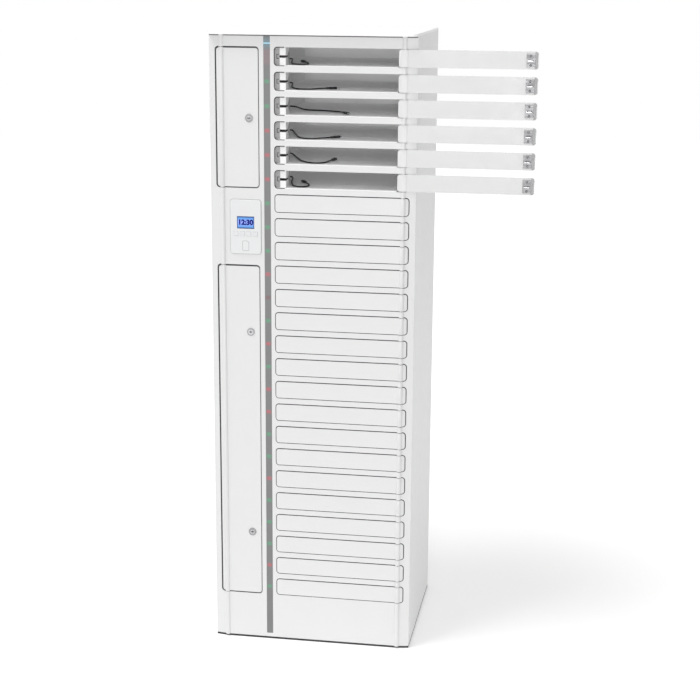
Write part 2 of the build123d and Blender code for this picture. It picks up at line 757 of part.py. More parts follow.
inlet_flange_x = 34.0
inlet_flange_z = 60.0
inlet_depth = 45.0
inlet_flange_thickness = 2.5
inlet_flange_r = 3.0
inlet_socket_width = 24.0
inlet_socket_height = 20.0
inlet_socket_depth = 18.0
with BuildPart() as mains_inlet:
    with BuildSketch(Plane.XZ.offset(-back)):
        with Locations((inlet_x, inlet_z)):
            RectangleRounded(inlet_flange_x, inlet_flange_z, inlet_flange_r)
    extrude(amount=-inlet_flange_thickness)
    with BuildSketch(Plane.XZ.offset(-back)):
        with Locations((inlet_x, inlet_z)):
            Rectangle(inlet_width, inlet_height)
    extrude(amount=inlet_depth)
    with BuildSketch(Plane.XZ.offset(-back - inlet_flange_thickness)):
        with Locations((inlet_x, inlet_z)):
            Rectangle(inlet_socket_width, inlet_socket_height)
    extrude(amount=inlet_socket_depth, mode=Mode.SUBTRACT)
save("mains_inlet", [mains_inlet])

# Charging leads of the open bays: out of the grommet, down to the shelf, and to a connector.
# Each point is right of the divider's left face, back from the front face and up from the shelf.
connector_rise = 3.6
lead_rest = lead_r + lead_clearance
bend_share = 0.45
lead_start = (0, grommet_y, grommet_rise)
lead_exit = (9.5, grommet_y, grommet_rise)
lead_routes = {
    1: [
        lead_start,
        lead_exit,
        (16, 173, 7),
        (19, 157, 4.5),
        (22, 130, lead_rest),
        (29, 96, lead_rest),
        (37, 64, lead_rest),
        (46, 32, lead_rest),
        (69, 14, lead_rest),
        (87, 32, lead_rest),
        (83, 66, lead_rest),
        (70, 98, connector_rise),
        (57, 128, connector_rise),
    ],
    2: [
        lead_start,
        lead_exit,
        (16, 173, 7),
        (19, 157, 4.5),
        (22, 132, lead_rest),
        (31, 92, lead_rest),
        (42, 56, lead_rest),
        (60, 24, lead_rest),
        (94, 25, lead_rest),
        (121, 45, connector_rise),
        (140, 60, connector_rise),
    ],
    3: [
        lead_start,
        lead_exit,
        (22, 177, 8),
        (36, 167, 5),
        (54, 149, lead_rest),
        (84, 136, lead_rest),
        (115, 131, lead_rest),
        (143, 117, lead_rest),
        (163, 92, connector_rise),
        (181, 66, connector_rise),
    ],
    4: [
        lead_start,
        lead_exit,
        (16, 174, 7),
        (22, 160, 4.5),
        (31, 136, lead_rest),
        (42, 100, lead_rest),
        (54, 58, lead_rest),
        (70, 25, lead_rest),
        (99, 12, lead_rest),
        (129, 31, connector_rise),
        (152, 60, connector_rise),
    ],
    5: [
        lead_start,
        lead_exit,
        (16, 174, 7),
        (23, 160, 4.5),
        (35, 137, lead_rest),
        (45, 108, lead_rest),
        (58, 71, lead_rest),
        (79, 35, lead_rest),
        (107, 15, lead_rest),
        (132, 33, lead_rest),
        (140, 64, connector_rise),
        (144, 96, connector_rise),
    ],
    6: [
        lead_start,
        lead_exit,
        (16, 173, 7),
        (19, 157, 4.5),
        (22, 130, lead_rest),
        (28, 98, lead_rest),
        (36, 70, lead_rest),
        (43, 41, lead_rest),
        (60, 19, lead_rest),
        (82, 23, lead_rest),
        (88, 49, lead_rest),
        (77, 80, connector_rise),
        (63, 108, connector_rise),
    ],
}


def lead_points(number):
    """Route of one bay's lead, in the cabinet's own frame."""
    floor = floor_top(number)
    return [Vector(divider_left + right, front + behind, floor + up)
            for right, behind, up in lead_routes[number]]


def bend_radii(points):
    """The largest even bend that the runs at each corner allow."""
    radii = []
    for before, corner, after in zip(points, points[1:], points[2:]):
        run = min((corner - before).length, (after - corner).length)
        turn = (corner - before).get_angle(after - corner)
        radii.append(bend_share * run / tan(radians(turn / 2)))
    return radii


with BuildPart() as charging_leads:
    for number in lead_routes:
        points = lead_points(number)
        radii = bend_radii(points)
        print("lead", number, "bend radii", [round(r, 1) for r in radii])
        with BuildLine() as route:
            FilletPolyline(*points, radius=radii)
        with BuildSketch(Plane(origin=points[0], z_dir=points[1] - points[0])):
            Circle(lead_r)
        sweep(path=route.line)
        length = sum(edge.length for edge in route.edges())
        print("lead", number, "length", round(length, 1))
save("charging_leads", [charging_leads])

# Lead connectors: a moulded grip with a metal shell, lying where each lead ends
grip_width = 11.0
grip_height = 6.4
grip_length = 20.0
shell_width = 8.3
shell_height = 2.6
shell_length = 6.5
grip_corner_r = 2.5
shell_corner_r = 1.2
with BuildPart() as lead_connectors:
    for number in lead_routes:
        before, end = lead_points(number)[-2:]
        along = (end - before).normalized()
        seat = Plane(origin=end, x_dir=along.cross(Vector(0, 0, 1)), z_dir=along)
        with BuildSketch(seat):
            RectangleRounded(grip_width, grip_height, grip_corner_r)
        extrude(amount=grip_length)
        with BuildSketch(seat.offset(grip_length)):
            RectangleRounded(shell_width, shell_height, shell_corner_r)
        extrude(amount=shell_length)
save("lead_connectors", [lead_connectors])
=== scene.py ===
"""Charging locker: finishes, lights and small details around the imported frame. Metres, +Z up."""
import json
import math

import bmesh
import bpy
from mathutils import Matrix, Vector

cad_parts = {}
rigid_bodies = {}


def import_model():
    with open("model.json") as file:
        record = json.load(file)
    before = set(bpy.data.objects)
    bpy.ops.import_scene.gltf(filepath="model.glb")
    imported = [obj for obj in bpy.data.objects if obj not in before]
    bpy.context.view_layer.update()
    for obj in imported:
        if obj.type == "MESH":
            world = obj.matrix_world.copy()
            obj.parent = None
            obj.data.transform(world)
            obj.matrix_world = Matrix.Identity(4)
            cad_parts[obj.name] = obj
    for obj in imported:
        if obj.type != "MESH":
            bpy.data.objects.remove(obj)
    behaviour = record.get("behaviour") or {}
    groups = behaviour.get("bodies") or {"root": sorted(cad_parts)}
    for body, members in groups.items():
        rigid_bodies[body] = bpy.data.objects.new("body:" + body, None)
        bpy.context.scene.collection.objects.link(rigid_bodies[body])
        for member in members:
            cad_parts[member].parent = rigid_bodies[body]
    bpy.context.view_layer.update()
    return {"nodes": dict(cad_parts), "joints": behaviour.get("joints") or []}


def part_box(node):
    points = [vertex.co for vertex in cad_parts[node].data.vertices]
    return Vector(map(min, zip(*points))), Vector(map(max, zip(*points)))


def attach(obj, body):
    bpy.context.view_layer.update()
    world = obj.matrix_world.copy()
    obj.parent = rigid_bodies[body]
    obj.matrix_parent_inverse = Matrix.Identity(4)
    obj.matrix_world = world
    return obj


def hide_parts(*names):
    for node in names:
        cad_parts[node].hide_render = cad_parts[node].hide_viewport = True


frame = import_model()
nodes = frame["nodes"]

MM = 0.001
TOUCH, SKIN, MARGIN = 0.05 * MM, 0.1 * MM, 0.2 * MM  # reaches within which faces are picked
BAY_COUNT = 24
BAYS = range(1, BAY_COUNT + 1)
SERVICE_DOORS = ("service_door_upper", "service_door_lower")
CAM_LOCKS = ("cam_lock_upper", "cam_lock_middle", "cam_lock_lower")

# Places read from the frame
strip_low, strip_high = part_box("indicator_strip")
panel_low, panel_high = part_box("panel_housing")
display_low, display_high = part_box("display")
display_middle = (display_low + display_high) / 2
strip_x = (strip_low.x + strip_high.x) / 2
front = strip_low.y
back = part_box("back_panel")[1].y
nose_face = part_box("bay_locks")[0].y
cabinet_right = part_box("side_panel_right")[1].x
divider_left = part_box("divider")[0].x
roof_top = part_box("roof")[1].z
joints = {joint["child"]: joint for joint in frame["joints"]}


def door_name(number):
    return f"bay_door_{number:02d}"


def door_middle(number):
    """Height of the middle of a bay's door."""
    low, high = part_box(door_name(number))
    return (low.z + high.z) / 2


def is_open(number):
    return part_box(door_name(number))[1].x > cabinet_right


bay_pitch = door_middle(1) - door_middle(2)
lowest_middle = door_middle(BAY_COUNT)
bay_hinge_x = joints[door_name(1)]["pos_m"][0]


def add_object(name, data):
    """A new object, linked into the scene."""
    item = bpy.data.objects.new(name, data)
    bpy.context.scene.collection.objects.link(item)
    return item


# Camera, as solved from the photograph's edges
CAMERA_PLACE = Vector((0.7767, -4.2952, 1.8788))
CAMERA_YAW, CAMERA_PITCH, CAMERA_ROLL = 9.3804, 13.7893, 0.3905
CAMERA_LENS, CAMERA_SENSOR = 79.58, 36


def add_camera():
    yaw, pitch, roll = (math.radians(turn) for turn in (CAMERA_YAW, CAMERA_PITCH, CAMERA_ROLL))
    ahead = Vector((
        -math.sin(yaw) * math.cos(pitch), math.cos(yaw) * math.cos(pitch), -math.sin(pitch),
    ))
    level = Vector((math.cos(yaw), math.sin(yaw), 0))
    upright = level.cross(ahead)
    right = level * math.cos(roll) + upright * math.sin(roll)
    up = upright * math.cos(roll) - level * math.sin(roll)
    turned = Matrix((right, up, -ahead)).transposed().to_4x4()
    camera = add_object("camera", bpy.data.cameras.new("camera"))
    camera.data.lens = CAMERA_LENS
    camera.data.sensor_width = CAMERA_SENSOR
    camera.matrix_world = Matrix.Translation(CAMERA_PLACE) @ turned
    bpy.context.scene.camera = camera


add_camera()


# Shader nodes
def value_node(tree, operation, first, second=0.0, clamp=False):
    """One math node; each operand is a socket or a number."""
    node = tree.nodes.new("ShaderNodeMath")
    node.operation = operation
    node.use_clamp = clamp
    for socket, operand in zip(node.inputs, (first, second)):
        if isinstance(operand, (int, float)):
            socket.default_value = operand
        else:
            tree.links.new(operand, socket)
    return node.outputs[0]


def distance(tree, value, middle):
    """How far value is from middle, either way."""
    return value_node(tree, "ABSOLUTE", value_node(tree, "SUBTRACT", value, middle))


def soft_step(tree, value, start, end, low, high):
    """A smooth change from low to high while value goes from start to end."""
    node = tree.nodes.new("ShaderNodeMapRange")
    node.interpolation_type = "SMOOTHSTEP"
    tree.links.new(value, node.inputs["Value"])
    numbers = {"From Min": start, "From Max": end, "To Min": low, "To Max": high}
    for name, number in numbers.items():
        node.inputs[name].default_value = number
    return node.outputs["Result"]


def noise(tree, vector, size, detail):
    """Noise whose features are about size metres across."""
    node = tree.nodes.new("ShaderNodeTexNoise")
    node.inputs["Scale"].default_value = 1 / size
    node.inputs["Detail"].default_value = detail
    tree.links.new(vector, node.inputs["Vector"])
    return node.outputs["Fac"]


def blend_colour(tree, factor, first, second):
    """From the first colour to the second; each is a socket or three numbers."""
    node = tree.nodes.new("ShaderNodeMix")
    node.data_type = "RGBA"
    tree.links.new(factor, node.inputs["Factor"])
    for socket, colour in ((node.inputs["A"], first), (node.inputs["B"], second)):
        if isinstance(colour, tuple):
            socket.default_value = (*colour, 1)
        else:
            tree.links.new(colour, socket)
    return node.outputs["Result"]


def split_place(tree):
    """The X, Y and Z of the shaded point."""
    split = tree.nodes.new("ShaderNodeSeparateXYZ")
    tree.links.new(tree.nodes["Texture Coordinate"].outputs["Object"], split.inputs["Vector"])
    return split.outputs


# Finishes
TINT_PATCH, TINT_DETAIL = 90 * MM, 4.0
GLOSS_PATCH, GLOSS_DETAIL = 25 * MM, 3.0
GLOSS_START, GLOSS_END = 0.25, 0.75
GRAIN_DETAIL, GRAIN_STRENGTH = 2.0, 0.6


def finish(
    name, colour, roughness, metallic=0.0, mottle=0.03, grain=1.6 * MM, depth=0.02 * MM,
    gloss_change=0.06, stretch=(1, 1, 1), coat=0.0,
):
    """A finish with faint mottling, uneven gloss and a fine texture."""
    material = bpy.data.materials.new(name)
    material.use_nodes = True
    tree = material.node_tree
    shader = tree.nodes["Principled BSDF"]
    shader.inputs["Metallic"].default_value = metallic
    shader.inputs["Coat Weight"].default_value = coat
    place = tree.nodes.new("ShaderNodeTexCoord").outputs["Object"]
    mapping = tree.nodes.new("ShaderNodeMapping")
    mapping.inputs["Scale"].default_value = stretch
    tree.links.new(place, mapping.inputs["Vector"])
    vector = mapping.outputs["Vector"]
    dark = tuple(channel * (1 - mottle) for channel in colour)
    light = tuple(min(channel * (1 + mottle), 1) for channel in colour)
    tint = blend_colour(tree, noise(tree, vector, TINT_PATCH, TINT_DETAIL), dark, light)
    tree.links.new(tint, shader.inputs["Base Color"])
    uneven = soft_step(
        tree, noise(tree, vector, GLOSS_PATCH, GLOSS_DETAIL), GLOSS_START, GLOSS_END,
        roughness - gloss_change, roughness + gloss_change,
    )
    tree.links.new(uneven, shader.inputs["Roughness"])
    bump = tree.nodes.new("ShaderNodeBump")
    bump.inputs["Distance"].default_value = depth
    bump.inputs["Strength"].default_value = GRAIN_STRENGTH
    tree.links.new(noise(tree, vector, grain, GRAIN_DETAIL), bump.inputs["Height"])
    tree.links.new(bump.outputs["Normal"], shader.inputs["Normal"])
    return material


def shader_of(material):
    """The shader node of a material."""
    return material.node_tree.nodes["Principled BSDF"]


def grey(level, blue=0.0):
    """A grey, with a little more blue in it if asked."""
    return (level, level, level + blue)


def paint(name, level, roughness):
    """The even paint of the sheets."""
    return finish(name, grey(level), roughness, mottle=0.012)


def steel(name, colour, roughness, mottle, grain, depth, stretch=(1, 1, 1)):
    """Bare or plated metal."""
    return finish(
        name, colour, roughness, metallic=1.0, mottle=mottle, grain=grain, depth=depth,
        stretch=stretch,
    )


# Faint glow of the inner paint: painted light that brightens the insides of the bays
INNER_PAINTED_FILL = 0.022

front_paint = paint("front_paint", 0.71, 0.42)
door_paint = paint("door_paint", 0.71, 0.40)
body_paint = paint("body_paint", 0.77, 0.45)
lid_paint = paint("lid_paint", 0.87, 0.45)
door_back_paint = paint("door_back_paint", 0.67, 0.42)
inner_paint = finish("inner_paint", grey(0.96), 0.5, mottle=0.02)
shader_of(inner_paint).inputs["Emission Color"].default_value = (1, 1, 1, 1)
shader_of(inner_paint).inputs["Emission Strength"].default_value = INNER_PAINTED_FILL
# Lighter copy of the paint for the roof's top faces: painted light where the top catches more
# light
roof_paint = paint("roof_paint", 0.93, 0.5)
# Painted shade: the plinth is near black so the recess under the sheets reads as the dark line at
# the cabinet's foot
plinth_paint = finish("plinth_paint", grey(0.02, 0.001), 0.55, mottle=0.1)
chrome = steel("lock_chrome", grey(0.46, 0.01), 0.22, 0.04, 0.4 * MM, 0.004 * MM)
lock_rim = steel("lock_rim", grey(0.30, 0.005), 0.30, 0.04, 0.4 * MM, 0.004 * MM)
zinc = steel("zinc_steel", (0.60, 0.61, 0.63), 0.36, 0.1, 2 * MM, 0.01 * MM, (1, 1, 6))
striker_steel = steel(
    "striker_steel", grey(0.17, 0.004), 0.40, 0.06, 1 * MM, 0.01 * MM, (1, 1, 8)
)
screw_steel = finish("screw_steel", grey(0.16, 0.005), 0.4, metallic=0.6, mottle=0.15)
tongue_steel = steel("tongue_steel", grey(0.34, 0.005), 0.34, 0.05, 1 * MM, 0.01 * MM)
dark_steel = finish("dark_steel", grey(0.05, 0.003), 0.4, metallic=0.6, mottle=0.15)
lock_plastic = finish("lock_plastic", grey(0.88), 0.38, mottle=0.02, grain=0.6 * MM)
# Grey for the lock bodies behind the noses: painted shade in the recess there
lock_grey = finish("lock_grey", grey(0.43), 0.45, mottle=0.03, grain=0.6 * MM)
# Near-black finish standing in for shade: the dark gap lines round the doors, the line at the
# cabinet's foot and the bands at the lock slots are painted shade
edge_rubber = finish("edge_rubber", grey(0.03, 0.001), 0.8, mottle=0.2, grain=0.8 * MM)
# Dark grey of the strip under the roof's overhang: painted shade
roof_foam = finish("roof_foam", grey(0.13, 0.002), 0.8, mottle=0.1, grain=0.8 * MM)
seal_rubber = finish("seal_rubber", grey(0.40, 0.005), 0.55, mottle=0.04, grain=0.6 * MM)
panel_plastic = finish(
    "panel_plastic", (0.715, 0.72, 0.725), 0.34, mottle=0.01, grain=0.5 * MM
)
button_plastic = finish(
    "button_plastic", (0.70, 0.71, 0.72), 0.5, mottle=0.015, grain=0.4 * MM
)
symbol_grey = finish("symbol_grey", (0.30, 0.305, 0.31), 0.5, mottle=0.05)
outline_grey = finish("outline_grey", grey(0.36, 0.005), 0.5, mottle=0.05)
# Black plastic of the adapters, sockets, inlet and plugs; the same black is painted shade in the
# lock noses' slots and the key slots
black_plastic = finish("black_plastic", grey(0.02, 0.002), 0.42, mottle=0.2, grain=0.5 * MM)
lead_rubber = finish("lead_rubber", grey(0.012, 0.001), 0.45, mottle=0.2, grain=0.8 * MM)
controller_paint = finish("controller_paint", (0.33, 0.35, 0.37), 0.48, mottle=0.03)
duct_plastic = finish("duct_plastic", grey(0.45), 0.5, mottle=0.03)
board_green = finish("circuit_board", (0.015, 0.10, 0.045), 0.3, mottle=0.25, grain=3 * MM)
light_chip = finish("light_chip", (0.75, 0.74, 0.60), 0.3, mottle=0.05)

# Indicator strip: a grey diffuser, lit from behind by each bay's light and by a bar at its top.
# BAY_LIGHTS has a letter for each bay, from the top down: green, red, dim red or off.
BAY_LIGHTS = "oGGRRRGGGRrGRGRRGGRGGGRG"
LIGHT_COLOURS = {
    "G": (0.004, 0.20, 0.07), "R": (0.34, 0.012, 0.03), "r": (0.10, 0.008, 0.012),
    "o": (0, 0, 0),
}
SPOT_CORE, SPOT_END = 1 * MM, 8.5 * MM
SPOT_FULL_WIDTH, SPOT_WIDTH, SPOT_SIDE_SHARE = 2 * MM, 9 * MM, 0.2
LONG_GLOW, LONG_FULL, LONG_END = (0.06, 0.004, 0.010), 12 * MM, 28 * MM
BEACON_Z = roof_top - 29 * MM
HALO_GLOW, HALO_FULL, HALO_END = (0.0, 0.07, 0.10), 2 * MM, 22 * MM
BAR_GLOW, BAR_FULL, BAR_END = (0.30, 0.70, 0.90), 0.4 * MM, 2.0 * MM
STRIP_GREY, SPOT_GREY = grey(0.19, 0.002), grey(0.12, 0.002)


def diffuser():
    material = finish("diffuser", STRIP_GREY, 0.4, mottle=0.04, grain=0.8 * MM)
    tree, shader = material.node_tree, shader_of(material)
    here = split_place(tree)
    rise = value_node(tree, "SUBTRACT", here["Z"], lowest_middle - bay_pitch / 2)
    row = value_node(tree, "DIVIDE", rise, bay_pitch * BAY_COUNT, clamp=True)
    within = value_node(tree, "FRACT", value_node(tree, "MULTIPLY", row, BAY_COUNT))
    away = distance(tree, within, 0.5)
    across = distance(tree, here["X"], strip_x)
    from_first = distance(tree, here["Z"], door_middle(1))
    glow = value_node(
        tree, "MULTIPLY",
        soft_step(tree, away, SPOT_CORE / bay_pitch, SPOT_END / bay_pitch, 1, 0),
        value_node(
            tree, "MULTIPLY",
            soft_step(tree, across, SPOT_FULL_WIDTH, SPOT_WIDTH, 1, SPOT_SIDE_SHARE),
            soft_step(tree, from_first, LONG_FULL, LONG_END, 0, 1),
        ),
    )
    plain = shader.inputs["Base Color"].links[0].from_socket
    tree.links.new(blend_colour(tree, glow, plain, SPOT_GREY), shader.inputs["Base Color"])
    ramp = tree.nodes.new("ShaderNodeValToRGB")
    ramp.color_ramp.interpolation = "CONSTANT"
    stops = ramp.color_ramp.elements
    for step, state in enumerate(reversed(BAY_LIGHTS)):
        stop = stops[0] if step == 0 else stops.new(step / BAY_COUNT)
        stop.color = (*LIGHT_COLOURS[state], 1)
    stops.remove(stops[-1])
    tree.links.new(row, ramp.inputs["Fac"])
    spots = blend_colour(tree, glow, (0.0, 0.0, 0.0), ramp.outputs["Color"])
    long_share = soft_step(tree, from_first, LONG_FULL, LONG_END, 1, 0)
    lit = blend_colour(tree, long_share, spots, LONG_GLOW)
    from_beacon = distance(tree, here["Z"], BEACON_Z)
    halo_share = soft_step(tree, from_beacon, HALO_FULL, HALO_END, 1, 0)
    halo = blend_colour(tree, halo_share, lit, HALO_GLOW)
    bar_share = soft_step(tree, from_beacon, BAR_FULL, BAR_END, 1, 0)
    bar = blend_colour(tree, bar_share, halo, BAR_GLOW)
    tree.links.new(bar, shader.inputs["Emission Color"])
    shader.inputs["Emission Strength"].default_value = 1.0
    return material


# Display: a backlit blue screen, brightest across its middle and dark at its rim
SCREEN_BAND_FULL, SCREEN_BAND_END, SCREEN_GLOW = 2 * MM, 12 * MM, 0.9
RIM_X_START, RIM_X_END, RIM_Z_START, RIM_Z_END = 2.6 * MM, 1.2 * MM, 4.2 * MM, 2 * MM
SCREEN_BLUE, SCREEN_BRIGHT, SCREEN_RIM = (0.12, 0.36, 0.80), (0.30, 0.40, 1.0), (0.01, 0.05, 0.14)


def screen():
    material = finish("display_glass", (0.01, 0.03, 0.12), 0.2, mottle=0.05, coat=0.1)
    tree, shader = material.node_tree, shader_of(material)
    here = split_place(tree)
    half = (display_high - display_low) / 2
    off_z = distance(tree, here["Z"], display_middle.z)
    band = soft_step(tree, off_z, SCREEN_BAND_FULL, SCREEN_BAND_END, 1, 0)
    off_x = distance(tree, here["X"], display_middle.x)
    rim_x = soft_step(tree, off_x, half.x - RIM_X_START, half.x - RIM_X_END, 1, 0)
    rim_z = soft_step(tree, off_z, half.z - RIM_Z_START, half.z - RIM_Z_END, 1, 0)
    glow = blend_colour(tree, band, SCREEN_BLUE, SCREEN_BRIGHT)
    inside = value_node(tree, "MULTIPLY", rim_x, rim_z)
    dimmed = blend_colour(tree, inside, SCREEN_RIM, glow)
    tree.links.new(dimmed, shader.inputs["Emission Color"])
    shader.inputs["Emission Strength"].default_value = SCREEN_GLOW
    return material


display_glass = screen()
display_ink = finish("display_ink", (0.0, 0.002, 0.16), 0.6, mottle=0.1)
shader_of(display_ink).inputs["Specular IOR Level"].default_value = 0.1
strip_diffuser = diffuser()


# Finishes of the frame's own pieces
def dress(name, material, *others):
    """Give a frame piece its finish, and others to the faces that belong to them."""
    mesh = nodes[name].data
    mesh.materials.clear()
    for used in (material, *(other for other, _ in others)):
        mesh.materials.append(used)
    for polygon in mesh.polygons:
        corners = [mesh.vertices[index].co for index in polygon.vertices]
        matches = (place for place, (_, belongs) in enumerate(others, 1) if belongs(corners))
        polygon.material_index = next(matches, 0)


def every(test):
    """A test of a face that each of its corners has to pass."""
    return lambda corners: all(test(corner) for corner in corners)


PLAIN_FINISHES = (
    (plinth_paint, "plinth"),
    (body_paint, "side_panel_left", "side_panel_right", "back_panel"),
    (front_paint, "bay_front", "service_front"),
    (inner_paint, "divider", "bay_shelves", "bay_back_wall"),
    (zinc, "hinge_rods", "adapter_racks"),
    (strip_diffuser, "indicator_strip"),
    (panel_plastic, "panel_housing"),
    (button_plastic, "panel_button_1", "panel_button_2", "panel_button_3", "panel_button_4"),
    (display_glass, "display"),
    (duct_plastic, "lead_grommets", "cable_duct"),
    (black_plastic, "power_adapters", "socket_strips", "mains_inlet", "lead_connectors"),
    (controller_paint, "controller"),
    (lead_rubber, "charging_leads"),
)
for material, *names in PLAIN_FINISHES:
    for name in names:
        dress(name, material)

# The roof's top faces get the lighter copy of the paint, as painted light
dress("roof", lid_paint, (roof_paint, every(lambda corner: corner.z > roof_top - SKIN)))

CHIP_HEIGHT = 1.4 * MM
chip_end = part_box("indicator_board")[0].y + CHIP_HEIGHT + MARGIN
dress("indicator_board", board_green, (light_chip, every(lambda corner: corner.y < chip_end)))

NOSE_LENGTH, SLOT_HALF = 6 * MM, 2.3 * MM
lock_face = nose_face + NOSE_LENGTH


def in_slot(corners):
    """Whether a face is in the slot of a bay's lock nose."""
    slot_z = lowest_middle + round((corners[0].z - lowest_middle) / bay_pitch) * bay_pitch
    return all(abs(corner.z - slot_z) < SLOT_HALF for corner in corners)


# Lock noses: black in the slots and grey on the bodies behind the noses, both painted shade
dress(
    "bay_locks", lock_plastic, (black_plastic, in_slot),
    (lock_grey, every(lambda corner: corner.y > lock_face - MARGIN)),
)

SHEET = 2 * MM
STRIKER_FROM_END, STRIKER_THICKNESS = 20.7 * MM, 1.5 * MM
STRIKER_HALF = Vector((11.1, 0, 17.6)) * MM
TONGUE_HALF = 1.4 * MM


def striker_centre(number):
    """Middle of the striker plate's back, on the door's inner face, and the way that it faces."""
    low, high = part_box(door_name(number))
    z = door_middle(number)
    if is_open(number):
        hinge_y = joints[door_name(number)]["pos_m"][1]
        return Vector((high.x - STRIKER_FROM_END, 2 * hinge_y - front - SHEET, z)), -1
    return Vector((low.x + STRIKER_FROM_END, front + SHEET, z)), 1


def dress_bay_door(number):
    """A bay door's finishes: its outside, its inner face, and the striker with its tongue."""
    centre, facing = striker_centre(number)

    def on_striker(corner):
        off = corner - centre
        beside = abs(off.x) < STRIKER_HALF.x and abs(off.z) < STRIKER_HALF.z
        return beside and off.y * facing > -TOUCH

    def on_tongue(corner):
        off = corner - centre
        return abs(off.z) < TONGUE_HALF and off.y * facing > STRIKER_THICKNESS - TOUCH

    def on_back(corner):
        return abs(corner.y - centre.y) < TOUCH

    dress(
        door_name(number), door_paint, (tongue_steel, every(on_tongue)),
        (striker_steel, every(on_striker)), (door_back_paint, every(on_back)),
    )


for number in BAYS:
    dress_bay_door(number)

for name in CAM_LOCKS:
    dress(name, chrome, (lock_rim, every(lambda corner: corner.y > front)))

CAM_FLANGE_R = 11.1 * MM


def barrel_test(door):
    """A test for the faces of the lock barrels in a service door."""
    spots = [joints[lock]["pos_m"] for lock in CAM_LOCKS if joints[lock]["parent"] == door]
    tests = [
        every(lambda corner, x=x, z=z: math.hypot(corner.x - x, corner.z - z) < CAM_FLANGE_R)
        for x, _, z in spots
    ]
    return lambda corners: any(test(corners) for test in tests)


for name in SERVICE_DOORS:
    dress(name, door_paint, (lock_rim, barrel_test(name)))


# Helpers for new pieces
def add_piece(name, mesh, material, body, smooth_angle=None):
    """Make one piece of a bmesh, with its finish, riding on a body."""
    bmesh.ops.recalc_face_normals(mesh, faces=mesh.faces)
    data = bpy.data.meshes.new(name)
    mesh.to_mesh(data)
    mesh.free()
    data.materials.append(material)
    piece = add_object(name, data)
    if smooth_angle is not None:
        data.polygons.foreach_set("use_smooth", [True] * len(data.polygons))
        data.set_sharp_from_angle(angle=math.radians(smooth_angle))
    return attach(piece, body)


def arc(centre_x, centre_z, radius, start, steps, sweep=90):
    """Places along an arc that begins at start degrees."""
    places = []
    for step in range(steps + 1):
        angle = math.radians(start + sweep * step / steps)
        places.append((centre_x + radius * math.cos(angle), centre_z + radius * math.sin(angle)))
    return places


CORNER_STEPS = 6


def rounded_loop(low_x, high_x, low_z, high_z, corner, inset, kinks=()):
    """Places round a rectangle with rounded corners, set in by inset, and at the kinks' x on its
    level edges."""
    radius = corner - inset
    left, right = low_x + inset + radius, high_x - inset - radius
    bottom, top = low_z + inset + radius, high_z - inset - radius
    return [
        *arc(right, top, radius, 0, CORNER_STEPS),
        *((x, high_z - inset) for x in reversed(kinks)),
        *arc(left, top, radius, 90, CORNER_STEPS),
        *arc(left, bottom, radius, 180, CORNER_STEPS),
        *((x, low_z + inset) for x in kinks),
        *arc(right, bottom, radius, 270, CORNER_STEPS),
    ]


def ring(mesh, centre, across, up, count, shape):
    """A closed loop of corners about centre; shape gives the radius at each angle."""
    corners = []
    for step in range(count):
        angle = 2 * math.pi * step / count
        off = across * shape(angle) * math.cos(angle) + up * shape(angle) * math.sin(angle)
        corners.append(mesh.verts.new(centre + off))
    return corners


def join_rings(mesh, first, second):
    """Faces between two closed loops."""
    count = len(first)
    for step in range(count):
        after = (step + 1) % count
        mesh.faces.new((first[step], first[after], second[after], second[step]))


def join_band(mesh, loops):
    """A closed band: faces from each closed loop to the next, and from the last to the first."""
    for first, second in zip(loops, loops[1:] + loops[:1]):
        join_rings(mesh, first, second)


def join_bar(mesh, rows):
    """A bar with two ends: faces between its long rows of corners, and a cap at each end."""
    for first, second in zip(rows, rows[1:] + rows[:1]):
        for step in range(len(first) - 1):
            mesh.faces.new((first[step], first[step + 1], second[step + 1], second[step]))
    for end in (0, -1):
        mesh.faces.new([row[end] for row in rows])


def cap_ends(mesh, loops):
    """Flat faces over the first loop, turned round, and the last."""
    mesh.faces.new(list(reversed(loops[0])))
    mesh.faces.new(loops[-1])


def add_box(mesh, low, high):
    place = Matrix.Translation((low + high) / 2) @ Matrix.Diagonal((*(high - low), 1))
    bmesh.ops.create_cube(mesh, size=1, matrix=place)


def circle(radius):
    return lambda angle: radius


def hexagon(half_width):
    """The radius of a hexagon at each angle."""
    return lambda angle: half_width / math.cos(angle % (math.pi / 3) - math.pi / 6)


SCREW_CORNERS = 24
SCREW_PROFILE = ((0.0, 1.0), (0.35, 1.0), (0.7, 0.86), (0.92, 0.66), (1.0, 0.5))
SOCKET_WIDTH, SOCKET_FLOOR = 0.36, 0.35
SCREW_SMOOTH = 35


def add_screw(mesh, place, out, radius, height):
    """A button-head screw with a hexagon socket, standing on place and facing out."""
    across = out.orthogonal().normalized()
    up = out.cross(across)
    rise = out * height
    sections = [(share, circle(radius * wide)) for share, wide in SCREW_PROFILE]
    socket = hexagon(radius * SOCKET_WIDTH)
    sections += [(1, socket), (SOCKET_FLOOR, socket)]
    loops = [
        ring(mesh, place + rise * share, across, up, SCREW_CORNERS, shape)
        for share, shape in sections
    ]
    for first, second in zip(loops, loops[1:]):
        join_rings(mesh, first, second)
    mesh.faces.new(loops[-1])
    mesh.faces.new(list(reversed(loops[0])))


# Striker screws on every bay door
SCREW_SPREAD, STRIKER_SCREW_R, STRIKER_SCREW_HEIGHT = 12.2 * MM, 3.2 * MM, 1.4 * MM
for number in BAYS:
    centre, facing = striker_centre(number)
    screws = bmesh.new()
    for side in (-1, 1):
        spot = centre + Vector((0, facing * STRIKER_THICKNESS, side * SCREW_SPREAD))
        add_screw(
            screws, spot, Vector((0, facing, 0)), STRIKER_SCREW_R, STRIKER_SCREW_HEIGHT
        )
    add_piece(
        f"striker_screws_{number:02d}", screws, screw_steel, door_name(number), SCREW_SMOOTH
    )

